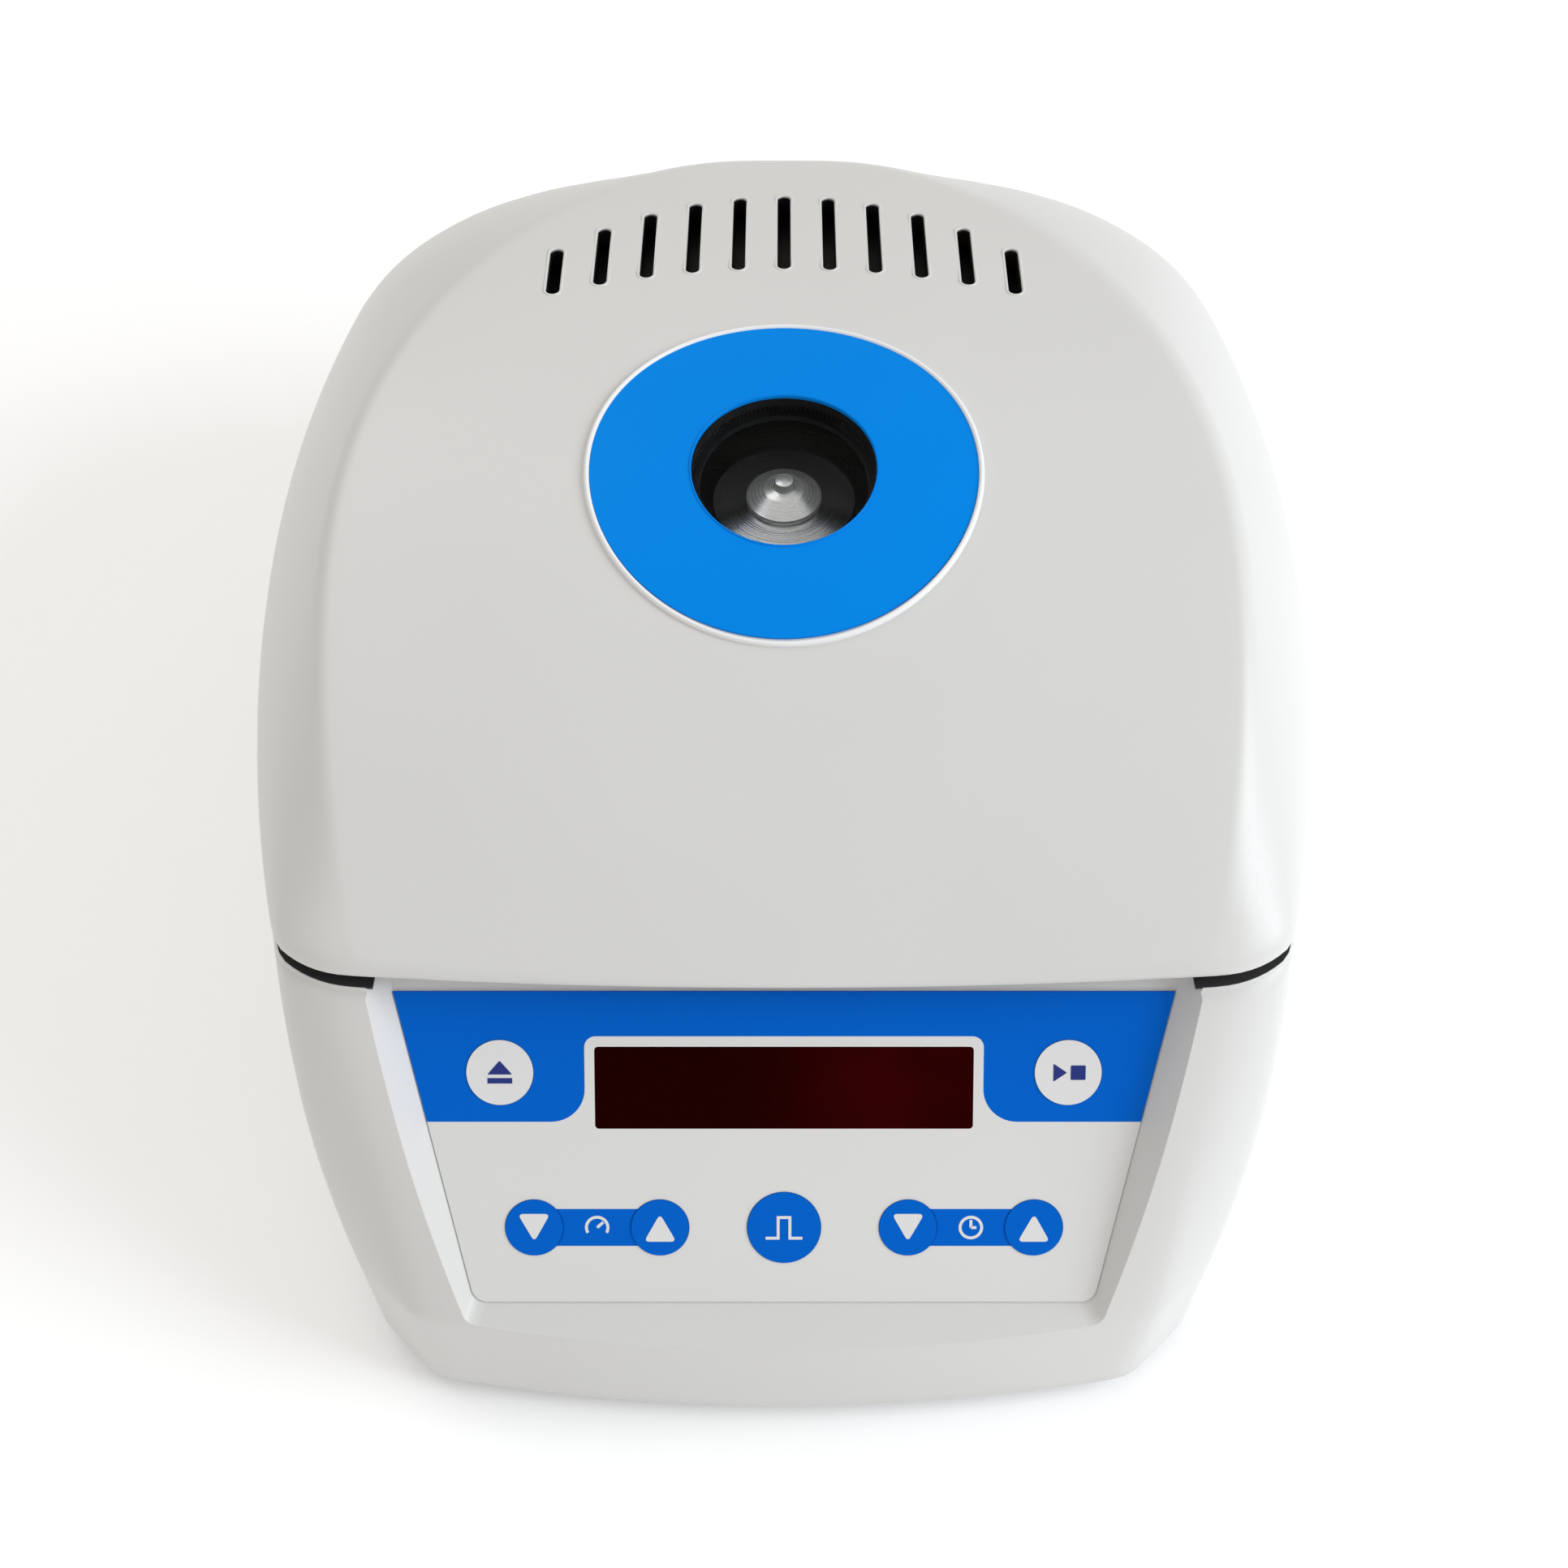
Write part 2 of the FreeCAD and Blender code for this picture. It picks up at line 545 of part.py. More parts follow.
def rear_edges(start, points):
    """Edges from a starting point on the right, round the back, to its mirror image."""
    middle = points["widest"]
    side_end = points["side_end"]
    corner_end = points["corner_end"]
    corner_middle = points["corner_middle"]
    return [
        Part.Arc(start, middle, side_end).toShape(),
        Part.Arc(side_end, corner_middle, corner_end).toShape(),
        Part.makeLine(corner_end, mirrored(corner_end)),
        Part.Arc(mirrored(corner_end), mirrored(corner_middle), mirrored(side_end)).toShape(),
        Part.Arc(mirrored(side_end), mirrored(middle), mirrored(start)).toShape(),
    ]


def plan_wire(level, height, inset=0.0):
    points = plan(level, inset)
    crease = points["crease"]
    facet = points["facet"]
    bend = points["bend"]
    edges = [
        Part.Arc(mirrored(crease), points["nose"], crease).toShape(),
        Part.Arc(crease, bend, facet).toShape(),
    ]
    edges += rear_edges(facet, points)
    edges.append(Part.Arc(mirrored(facet), mirrored(bend), mirrored(crease)).toShape())
    wire = Part.Wire(edges)
    wire.translate(Vector(0, 0, height))
    return wire


def block(low, high):
    """A plain block between two corners."""
    extent = high - low
    return Part.makeBox(extent.x, extent.y, extent.z, low)


def leaf_screw_hole(x, z):
    """A hole behind a hinge's leaf, as deep as its screw."""
    start = Vector(evaluated(x), back - wall, evaluated(z))
    return Part.makeCylinder(size("screw_shank"), wall, start, ALONG_Y)


# Lid: a domed crown with sloping sides, cut from an upright prism over the rim's plan
dome_y = front + size("crest_setback")
dome_z = size("dome_height") - size("dome_radius")
SIDE_SAMPLES = 49
SIDE_STEPS = (0.0, 0.5, 1.0)
OVERRUN = 0.35
REACH = 400.0


def dome(radius):
    """A round bar along X whose upper side is the lid's crown."""
    return Part.makeCylinder(radius, 2 * REACH, Vector(-REACH, dome_y, dome_z), Vector(1, 0, 0))


def dome_surface(y, radius):
    return dome_z + math.sqrt(radius ** 2 - (y - dome_y) ** 2)


def crown_points(inset):
    """Points along the crown's edge, from the front right round the back to the front left."""
    start = plan("rim", inset)["crease"]
    wide_y = front + size("crease_setback")
    half_width = size("crease_half_width") - inset
    widest = Vector(half_width, wide_y, 0)
    side_end, corner_middle, corner_end = rear_arcs(
        half_width, wide_y, size("crease_rear_radius") - inset, size("crease_corner_radius") - inset,
        back - size("crease_back_inset") - inset)
    lead = widest - start
    radius = (lead.x ** 2 + lead.y ** 2) / (2 * lead.x)
    turn = math.asin(lead.y / radius) / 2
    halfway = widest - Vector(radius * (1 - math.cos(turn)), radius * math.sin(turn), 0)
    rear_radius = size("crease_rear_radius") - inset
    rear_turn = math.asin((side_end.y - wide_y) / rear_radius) / 2
    rear_half = widest + Vector(math.cos(rear_turn) - 1, math.sin(rear_turn), 0) * rear_radius
    right = [
        Part.Arc(start, halfway, widest).toShape(),
        Part.Arc(widest, rear_half, side_end).toShape(),
        Part.Arc(side_end, corner_middle, corner_end).toShape(),
    ]
    left = [edge.mirror(Vector(), Vector(1, 0, 0)) for edge in reversed(right)]
    wire = Part.Wire(right + [Part.makeLine(corner_end, mirrored(corner_end))] + left)
    radius = size("dome_radius") - inset
    return [Vector(p.x, p.y, dome_surface(p.y, radius)) for p in wire.discretize(Number=SIDE_SAMPLES)]


def rim_points(inset):
    """Points along the rim's upper edge that pair with the crown's points."""
    points = plan("rim", inset)
    wire = Part.Wire(rear_edges(points["facet"], points))
    height = lid_bottom + size("rim_land")
    return [Vector(p.x, p.y, height) for p in wire.discretize(Number=SIDE_SAMPLES)]


def side_point(rim, crown, share):
    """A place on the lid's side, at that share of its height."""
    lean = size("side_lean") * share + (1 - size("side_lean")) * share ** 2
    return Vector(rim.x + (crown.x - rim.x) * lean, rim.y + (crown.y - rim.y) * lean,
                  rim.z + (crown.z - rim.z) * share)


def smooth_edge(points):
    """A smooth curve through the points, carried on past both ends."""
    curve = Part.BSplineCurve()
    curve.interpolate([points[0] * 2 - points[1]] + points + [points[-1] * 2 - points[-2]])
    return curve.toShape()


def side_cutters(inset):
    """Everything above the lid's sides, one cutter for each band of the slope."""
    pairs = list(zip(rim_points(inset), crown_points(inset)))
    cutters = []
    for low, high in zip(SIDE_STEPS, SIDE_STEPS[1:]):
        starts = [side_point(rim, crown, low) for rim, crown in pairs]
        ends = [side_point(rim, crown, high) for rim, crown in pairs]
        rises = [(end - start) * (1 / (high - low)) for start, end in zip(starts, ends)]
        upper = [start + rise * (1 + OVERRUN - low) for start, rise in zip(starts, rises)]
        lower = [start - rise * (low + OVERRUN) for start, rise in zip(starts, rises)]
        slope = Part.makeRuledSurface(smooth_edge(upper), smooth_edge(lower))
        cutters.append(slope.extrude(Vector(0, 0, REACH)))
    return cutters


def lid_form(inset=0.0):
    form = Part.Face(plan_wire("rim", lid_bottom, inset)).extrude(Vector(0, 0, REACH))
    form = form.common(dome(size("dome_radius") - inset))
    for cutter in side_cutters(inset):
        form = form.cut(cutter)
    return form


def window_frame():
    """Placement at the middle of the port, with its third axis square to the lid."""
    y = front + size("window_setback")
    origin = Vector(0, y, dome_surface(y, size("dome_radius")))
    return Placement(origin, Rotation(Vector(1, 0, 0), size("window_tilt")))


def slot_cutters():
    """Round-ended air slots, the outer ones shorter and further forward."""
    cutters = []
    last = (int(size("slot_count")) - 1) // 2
    radius = size("slot_width") / 2
    for place_in_row in range(-last, last + 1):
        share = (place_in_row / last) ** 2
        length = size("slot_length") * (1 - size("slot_taper") * share)
        start = front + size("slot_front") - size("slot_row_bow") * share
        x = place_in_row * size("slot_pitch")
        low = lid_bottom + size("liner_lift") + size("liner_wall")
        near = start + radius
        far = start + length - radius
        straight = block(Vector(x - radius, near, low), Vector(x + radius, far, REACH))
        ends = [Part.makeCylinder(radius, REACH - low, Vector(x, y, low)) for y in (near, far)]
        cutters.append(straight.multiFuse(ends))
    return cutters


def lid_posts(outer):
    """Posts inside the lid for its liner, the striker and the hinges."""
    seat = lid_bottom + size("liner_lift") + size("liner_wall")
    posts = [Part.makeCylinder(size("liner_boss_radius"), REACH, Vector(evaluated(x), evaluated(y), seat))
             for x, y in LINER_POSTS]
    striker_y = evaluated(LATCH_Y)
    half = size("striker_plate_half")
    deep = size("striker_plate_depth") / 2
    striker_seat = lid_bottom + size("striker_plate_lift") + size("leg")
    posts.append(block(Vector(-half, striker_y - deep, striker_seat),
                       Vector(half, striker_y + deep, REACH)))
    trimmed = [post.common(outer) for post in posts]
    for side in (-1, 1):
        middle = side * size("hinge_x")
        half = size("leaf_width") / 2
        low = Vector(middle - half, back - size("hinge_boss_depth"), lid_bottom)
        high = Vector(middle + half, back, lid_bottom + size("lid_leaf_height") + size("rim_land"))
        trimmed.append(block(low, high))
    return trimmed


def softened(shape, radius):
    """The lid with its crown's edge rounded."""
    crown_edges = [edge for edge in shape.Edges
                   if edge.Length > 2 * size("crease_half_width")
                   and edge.BoundBox.ZMax > size("dome_height") - 2 * radius]
    return shape.makeFillet(radius, crown_edges)


lid_outer = softened(lid_form(), size("crease_softness"))
lid_inner = lid_form(wall)
lid = lid_outer.cut(lid_inner).multiFuse(lid_posts(lid_outer))
through_port = Part.makeCylinder(size("port_radius") + size("port_wall"), 6 * wall, Vector(0, 0, -3 * wall))
through_port.Placement = window_frame()
lid = lid.cut(through_port)
for slot in slot_cutters():
    lid = lid.cut(slot)
for x, y in LINER_POSTS:
    lid = lid.cut(Part.makeCylinder(size("screw_shank"), size("screw_length"),
                                    Vector(evaluated(x), evaluated(y), evaluated(LINER_SEAT))))
for x, z in LID_LEAF_SPOTS:
    lid = lid.cut(leaf_screw_hole(x, z))
node("lid_shell", feature("lid_shell", lid))


# Label and ring follow the lid's surface
def on_dome(inner_radius, outer_radius, rise):
    skin = dome(size("dome_radius") + rise).cut(dome(size("dome_radius")))
    tube = Part.makeCylinder(outer_radius, 8 * wall, Vector(0, 0, -4 * wall))
    tube = tube.cut(Part.makeCylinder(inner_radius, 8 * wall, Vector(0, 0, -4 * wall)))
    tube.Placement = window_frame()
    return skin.common(tube)


label = on_dome(size("port_radius"), size("label_radius"), size("label_rise"))
label_edge = on_dome(size("label_radius"), size("ring_radius"), size("ring_rise"))
node("window_label", feature("window_label", label))
node("window_ring", feature("window_ring", label_edge))

PANE_BOTTOM = "(pane_ledge - port_depth)"
port_tube = turned("port_tube", (
    ("port_radius - pane_ledge", "-port_depth"),
    ("port_radius + port_wall", "-port_depth"),
    ("port_radius + port_wall", "-port_top"),
    ("port_radius", "-port_top"),
    ("port_radius", PANE_BOTTOM),
    ("port_radius - pane_ledge", PANE_BOTTOM),
), placed=False)
pane = turned("viewing_window", (
    ("0", PANE_BOTTOM),
    ("port_radius", PANE_BOTTOM),
    ("port_radius", f"{PANE_BOTTOM} + pane_thickness"),
    ("0", f"{PANE_BOTTOM} + pane_thickness"),
), placed=False)
for name, made in (("port_tube", port_tube), ("viewing_window", pane)):
    made.Placement = window_frame()
    node(name, made)

# Liner of the lid, its gasket and its screws
liner = turned("lid_liner_turned", (
    ("liner_hole", "liner_top"),
    ("liner_top_radius", "liner_top"),
    ("liner_foot_radius", LINER_SEAT),
    ("liner_flange", LINER_SEAT),
    ("liner_flange", f"{LINER_SEAT} + liner_wall"),
    ("liner_foot_radius + liner_wall", f"{LINER_SEAT} + liner_wall"),
    ("liner_top_radius + liner_wall", "liner_top + liner_wall"),
    ("liner_hole", "liner_top + liner_wall"),
), y=AXIS_Y)


def screws(name, spots, upward, seat):
    """Round-headed screws at several spots, with their heads on the seat."""
    made = []
    for number, (x, y) in enumerate(spots):
        shank_z = seat if upward else f"{seat} - screw_length"
        head_z = f"{seat} - screw_head_height" if upward else seat
        shank = rod(f"{name}_shank_{number}", "screw_shank", "screw_length", x, y, shank_z)
        head = rod(f"{name}_head_{number}", "screw_head", "screw_head_height", x, y, head_z)
        made.append(fuse(f"{name}_{number}", shank, head))
    return group(name, *made)


node("liner_screws", screws("liner_screws", LINER_POSTS, True, LINER_SEAT))
liner_holes = [rod(f"liner_hole_{number}", "screw_shank + screw_room", "4 * liner_wall", x, y,
                   f"{LINER_SEAT} - liner_wall") for number, (x, y) in enumerate(LINER_POSTS)]
node("lid_liner", cut("lid_liner", liner, *liner_holes))
node("lid_gasket", turned("lid_gasket", (
    ("gasket_inner", "base_top + bowl_wall + seal_height + gasket_gap"),
    ("gasket_outer", "base_top + bowl_wall + seal_height + gasket_gap"),
    ("gasket_outer", LINER_SEAT),
    ("gasket_inner", LINER_SEAT),
), y=AXIS_Y))

# Rotor bowl and its seal
SEAT_TOP = "(base_top + bowl_wall)"
node("rotor_bowl", turned("rotor_bowl", (
    ("bowl_hole", "bowl_floor - bowl_wall"),
    ("bowl_inner + bowl_wall", "bowl_floor - bowl_wall"),
    ("bowl_inner + bowl_wall", "base_top"),
    ("bowl_flange", "base_top"),
    ("bowl_flange", SEAT_TOP),
    ("bowl_inner", SEAT_TOP),
    ("bowl_inner", "bowl_floor"),
    ("bowl_hole", "bowl_floor"),
), y=AXIS_Y))
node("bowl_seal", turned("bowl_seal", (
    ("seal_inner", SEAT_TOP),
    ("bowl_flange", SEAT_TOP),
    ("bowl_flange", f"{SEAT_TOP} + seal_height"),
    ("seal_inner", f"{SEAT_TOP} + seal_height"),
), y=AXIS_Y))

# Rotor: a post, round it equal segments with one slanted tube hole each, and what turns with them
FUNNEL_FLOOR = "(rotor_top - funnel_rim + funnel_floor)"
MOUTH_Z = "(rotor_top - funnel_rim + tube_circle)"
HOLE_LEAD = "(2 * tube_radius)"
HOLE_START = f"(tube_circle - {HOLE_LEAD})"
SEGMENT = (
    ("hub_radius", "rotor_bottom"),
    ("rotor_foot", "rotor_bottom"),
    ("rotor_radius", "rotor_shoulder - rotor_edge"),
    ("rotor_radius", "rotor_shoulder"),
    ("rotor_rim", "rotor_top"),
    ("funnel_rim", "rotor_top"),
    ("funnel_floor", FUNNEL_FLOOR),
    ("hub_radius", FUNNEL_FLOOR),
)
node("rotor_hub", turned("rotor_hub", (
    ("shaft_radius", "rotor_bottom"),
    ("hub_radius", "rotor_bottom"),
    ("hub_radius", "hub_top"),
    ("shaft_radius", "hub_top"),
), y=AXIS_Y))
segments = []
for number in range(int(size("tube_count"))):
    turn = Rotation(Vector(0, 0, 1), 360 / size("tube_count") * number)
    outward = turn.multVec(ALONG_X)
    downward = turn.multVec(Rotation(ALONG_Y, size("tube_angle")).multVec(ALONG_X))
    segment = turned(f"rotor_segment_{number}", SEGMENT, placed=False, sweep="360 / tube_count")
    segment.Placement = Placement(Vector(), turn)
    place(segment, y=AXIS_Y)
    hole = rod(f"tube_hole_{number}", "tube_radius", f"tube_depth + {HOLE_LEAD} / cos(tube_angle)",
               f"{HOLE_START} * {outward.x:.9f}", f"{AXIS_Y} + {HOLE_START} * {outward.y:.9f}",
               f"{MOUTH_Z} + {HOLE_LEAD} * tan(tube_angle)", downward)
    segments.append(cut(f"rotor_place_{number}", segment, hole))
node("rotor", group("rotor", *segments))
node("rotor_nut", turned("rotor_nut", (
    ("shaft_radius", "hub_top"),
    ("nut_radius", "hub_top"),
    ("nut_radius", "hub_top + nut_flange"),
    ("nut_neck", "hub_top + nut_flange + nut_cone"),
    ("nut_pin", "hub_top + nut_flange + nut_cone"),
    ("nut_pin", "hub_top + nut_height"),
    ("0", "hub_top + nut_height"),
    ("0", "hub_top + nut_flange"),
    ("shaft_radius", "hub_top + nut_flange"),
), y=AXIS_Y))
SHAFT_BOTTOM = f"({MOTOR_BOTTOM} + bearing_sill / 2)"
node("drive_shaft", turned("drive_shaft", (
    ("0", SHAFT_BOTTOM),
    ("shaft_radius", SHAFT_BOTTOM),
    ("shaft_radius", f"{NOSE_TOP} + bearing_sill"),
    ("shaft_collar", f"{NOSE_TOP} + bearing_sill"),
    ("shaft_collar", "rotor_bottom"),
    ("shaft_radius", "rotor_bottom"),
    ("shaft_radius", "hub_top + nut_flange"),
    ("0", "hub_top + nut_flange"),
), y=AXIS_Y))

# Motor
CAVITY_BOTTOM = f"({MOTOR_BOTTOM} + motor_floor)"
CAVITY_TOP = f"({MOTOR_TOP} - motor_floor)"
LOWER_BEARING = f"({MOTOR_BOTTOM} + bearing_sill)"
UPPER_BEARING = f"({NOSE_TOP} - bearing_sill - bearing_width)"
BEARING_BORE = "(shaft_radius + running_clearance)"
SHAFT_HOLE = "(shaft_radius + bearing_sill)"
node("motor_housing", turned("motor_housing", (
    (SHAFT_HOLE, MOTOR_BOTTOM),
    ("motor_radius", MOTOR_BOTTOM),
    ("motor_radius", MOTOR_TOP),
    ("motor_nose", MOTOR_TOP),
    ("motor_nose", NOSE_TOP),
    (SHAFT_HOLE, NOSE_TOP),
    (SHAFT_HOLE, f"{UPPER_BEARING} + bearing_width"),
    ("bearing_radius", f"{UPPER_BEARING} + bearing_width"),
    ("bearing_radius", UPPER_BEARING),
    ("motor_nose", UPPER_BEARING),
    ("motor_nose", CAVITY_TOP),
    ("motor_radius - motor_wall", CAVITY_TOP),
    ("motor_radius - motor_wall", CAVITY_BOTTOM),
    ("motor_nose", CAVITY_BOTTOM),
    ("motor_nose", f"{LOWER_BEARING} + bearing_width"),
    ("bearing_radius", f"{LOWER_BEARING} + bearing_width"),
    ("bearing_radius", LOWER_BEARING),
    (SHAFT_HOLE, LOWER_BEARING),
), y=AXIS_Y))


def ring(name, inner, outer, bottom, height):
    return turned(name, ((inner, bottom), (outer, bottom), (outer, f"{bottom} + {height}"),
                         (inner, f"{bottom} + {height}")), y=AXIS_Y)


node("motor_bearings", group(
    "motor_bearings",
    ring("lower_bearing", BEARING_BORE, "bearing_radius", LOWER_BEARING, "bearing_width"),
    ring("upper_bearing", BEARING_BORE, "bearing_radius", UPPER_BEARING, "bearing_width")))
STACK_BOTTOM = f"(({CAVITY_BOTTOM} + {CAVITY_TOP} - stator_height) / 2)"
node("motor_stator", ring("motor_stator", "stator_inner", "motor_radius - motor_wall", STACK_BOTTOM,
                          "stator_height"))
node("motor_rotor", ring("motor_rotor", "shaft_radius", "magnet_radius", STACK_BOTTOM, "stator_height"))

MOUNT_SPOTS = [(f"{side} * (mount_plate_width / 2 - mount_inset)",
                f"{AXIS_Y} + {end} * (mount_plate_depth / 2 - mount_inset)")
               for side in (-1, 1) for end in (-1, 1)]
mount_sheet = box("mount_sheet", "mount_plate_width", "mount_plate_depth", "mount_plate",
                  y=AXIS_Y, z=MOUNT_TOP)
mount_holes = [rod(f"mount_hole_{number}", "screw_shank + screw_room", "2 * mount_plate", x, y,
                   f"{MOUNT_TOP} - mount_plate / 2") for number, (x, y) in enumerate(MOUNT_SPOTS)]
node("motor_mount_plate", cut("motor_mount_plate", mount_sheet, *mount_holes))
rubbers = []
for number, (x, y) in enumerate(MOUNT_SPOTS):
    post = rod(f"mount_post_{number}", "mount_radius", "mount_height", x, y, FLOOR)
    hole = rod(f"mount_bore_{number}", "screw_shank", "mount_height", x, y,
               f"{MOTOR_BOTTOM} - screw_length")
    rubbers.append(cut(f"mount_{number}", post, hole))
node("vibration_mounts", group("vibration_mounts", *rubbers))
node("motor_screws", screws("motor_screws", MOUNT_SPOTS, False, MOTOR_BOTTOM))


# Base housing: a tub with a deck, a sloping recess for the panel and posts for the floor's screws
def base_form(inset=0.0, bottom=None, top=None):
    levels = (
        ("bottom", bottom),
        ("lip", size("lip_height")),
        ("waist", size("waist_height")),
        ("deck", top),
    )
    return Part.makeLoft([plan_wire(level, height, inset) for level, height in levels], True, True)


def panel_frame():
    """Placement of the panel: x to the right, y up the slope, z out of the face."""
    origin = Vector(0, front + size("panel_setback"), size("panel_height"))
    return Placement(origin, Rotation(Vector(1, 0, 0), size("panel_angle")))


def on_panel(shape):
    moved = shape.copy()
    moved.Placement = panel_frame()
    return moved


def trapezoid(height, margin, above, below=0.0, corner=0.0):
    """The panel's outline as a wire, widened by a margin, with rounded lower corners."""
    length = size("panel_length") + below
    top_half = size("panel_top_half") + margin
    bottom_half = size("panel_bottom_half") + margin
    spread = (top_half - bottom_half) / size("panel_length")
    top = Vector(top_half + spread * above, above, height)
    bottom = Vector(bottom_half - spread * below, -length, height)
    up = (top - bottom).normalize()
    bend = math.acos(up.x)
    setback = corner / math.tan((math.pi - bend) / 2)
    side_start = bottom + up * setback
    floor_end = bottom - Vector(setback, 0, 0)
    centre = floor_end + Vector(0, corner, 0)
    aim = (bottom - centre).normalize()
    middle = centre + aim * corner
    edges = [
        Part.makeLine(mirrored(top), top),
        Part.makeLine(top, side_start),
        Part.Arc(side_start, middle, floor_end).toShape(),
        Part.makeLine(floor_end, mirrored(floor_end)),
        Part.Arc(mirrored(floor_end), mirrored(middle), mirrored(side_start)).toShape(),
        Part.makeLine(mirrored(side_start), mirrored(top)),
    ]
    return Part.Wire(edges)


film = size("film")
foot = size("foot_height")
corner = size("panel_corner")
base_outer = base_form(0.0, foot, base_top)
flare = size("recess_flare")
recess = Part.makeLoft([trapezoid(-film, 0.0, wall, 0.0, corner),
                        trapezoid(size("recess_reach"), flare, 4 * wall, 2 * flare, corner)], True, True)
base_inner = base_form(wall, foot, base_top - wall)
behind_panel = Part.makeBox(REACH, REACH, REACH, Vector(-REACH / 2, -REACH / 2, -REACH - film - wall))
base_inner = base_inner.common(on_panel(behind_panel))
base = base_outer.cut(on_panel(recess)).cut(base_inner)
posts = []
for side in (-1, 1):
    for setback in ("front_boss_setback", "back_boss_setback"):
        y = front + size(setback)
        inner = side * size("boss_inner_x")
        outer = side * REACH
        half = size("boss_width") / 2
        seat = foot + size("plate")
        low = Vector(min(inner, outer), y - half, seat)
        high = Vector(max(inner, outer), y + half, seat + size("boss_height"))
        posts.append(block(low, high).common(base_outer))
base = base.multiFuse(posts)

bowl_opening = size("bowl_inner") + size("bowl_wall") + size("bowl_fit")
base = base.cut(Part.makeCylinder(bowl_opening, 4 * wall, Vector(0, axis_y, base_top - 2 * wall)))
latch_y = evaluated(LATCH_Y)
slot_half = size("latch_slot_half")
slot_deep = size("latch_slot_depth") / 2
base = base.cut(block(Vector(-slot_half, latch_y - slot_deep, base_top - 2 * wall),
                      Vector(slot_half, latch_y + slot_deep, base_top + wall)))
opening = Part.Face(trapezoid(-4 * wall, -size("ledge"), -size("ledge"), -size("ledge"), corner))
base = base.cut(on_panel(opening.extrude(Vector(0, 0, 8 * wall))))
FLOOR_SPOTS = [(f"{side} * floor_screw_x", f"{FRONT} + {setback}")
               for side in (-1, 1) for setback in ("front_boss_setback", "back_boss_setback")]
for x, y in FLOOR_SPOTS:
    base = base.cut(Part.makeCylinder(size("screw_shank"), size("screw_length") + size("plate"),
                                      Vector(evaluated(x), evaluated(y), foot)))


def back_wall_hole(x, z, across, up):
    """A hole through the back wall for a fitting of that size."""
    room = size("wall_fit")
    low = Vector(x - across / 2 - room, back - 2 * wall, z - up / 2 - room)
    high = Vector(x + across / 2 + room, back + wall, z + up / 2 + room)
    return block(low, high)


inlet_z = size("inlet_height")
BEZEL_ACROSS = "(rocker_width + 2 * rocker_gap + 2 * bezel_wall)"
BEZEL_UP = "(rocker_tall + 2 * rocker_gap + 2 * bezel_wall)"
base = base.cut(back_wall_hole(-size("inlet_x"), inlet_z, size("inlet_width"), size("inlet_tall")))
base = base.cut(back_wall_hole(size("rocker_x"), inlet_z, evaluated(BEZEL_ACROSS), evaluated(BEZEL_UP)))
for x, z in BASE_LEAF_SPOTS:
    base = base.cut(leaf_screw_hole(x, z))
node("base_housing", feature("base_housing", base))

# Floor, its screws and the feet
floor_wire = plan_wire("bottom", foot, wall + size("plate_fit"))
floor_sheet = Part.Face(floor_wire).extrude(Vector(0, 0, size("plate")))
for x, y in FLOOR_SPOTS:
    start = Vector(evaluated(x), evaluated(y), foot - size("plate"))
    room = size("screw_shank") + size("screw_room")
    floor_sheet = floor_sheet.cut(Part.makeCylinder(room, 3 * size("plate"), start))
node("bottom_plate", feature("bottom_plate", floor_sheet))
node("bottom_screws", screws("bottom_screws", FLOOR_SPOTS, True, "foot_height"))
feet = [turned(f"foot_{side_name}_{end}", (
    ("0", "0"),
    ("foot_radius - foot_height / 4", "0"),
    ("foot_radius", "foot_height / 4"),
    ("foot_radius", "foot_height"),
    ("0", "foot_height"),
), x=f"{side} * foot_x", y=f"{FRONT} + {end}_foot_setback")
    for side, side_name in ((-1, "left"), (1, "right")) for end in ("front", "back")]
node("rubber_feet", group("rubber_feet", *feet))

# Panel: overlay, blue band, display, carrier and control board, all laid out on the slope


def panel_node(name, made, x=0.0, y=0.0, z=0.0):
    """Name a sub-part and set it on the slope, moved along the panel's own axes."""
    made.Placement = panel_frame() * Placement(Vector(x, y, z), Rotation())
    return node(name, made)


def slab(face, thickness):
    return face.extrude(Vector(0, 0, thickness))


def rounded_block(half, top, bottom, low, thickness, corner):
    """A block on the panel with rounded upright edges."""
    solid = block(Vector(-half, -bottom, low), Vector(half, -top, low + thickness))
    upright = [edge for edge in solid.Edges if abs(edge.Vertexes[0].Z - edge.Vertexes[1].Z) > thickness / 2]
    return solid.makeFillet(corner, upright)


def key_hole(x, drop, radius):
    return Part.makeCylinder(radius, 4 * wall, Vector(x, -drop, -2 * wall))


KEYS = (
    ("lid_key", "-key_upper_x", "key_upper_drop", "key_upper_radius"),
    ("start_stop_key", "key_upper_x", "key_upper_drop", "key_upper_radius"),
    ("speed_down_key", "-key_outer_x", "key_lower_drop", "key_lower_radius"),
    ("speed_up_key", "-key_inner_x", "key_lower_drop", "key_lower_radius"),
    ("short_spin_key", "0", "key_lower_drop", "key_short_radius"),
    ("time_down_key", "key_inner_x", "key_lower_drop", "key_lower_radius"),
    ("time_up_key", "key_outer_x", "key_lower_drop", "key_lower_radius"),
)


def key_holes(room):
    return [key_hole(evaluated(x), size(drop), size(radius) + room) for name, x, drop, radius in KEYS]


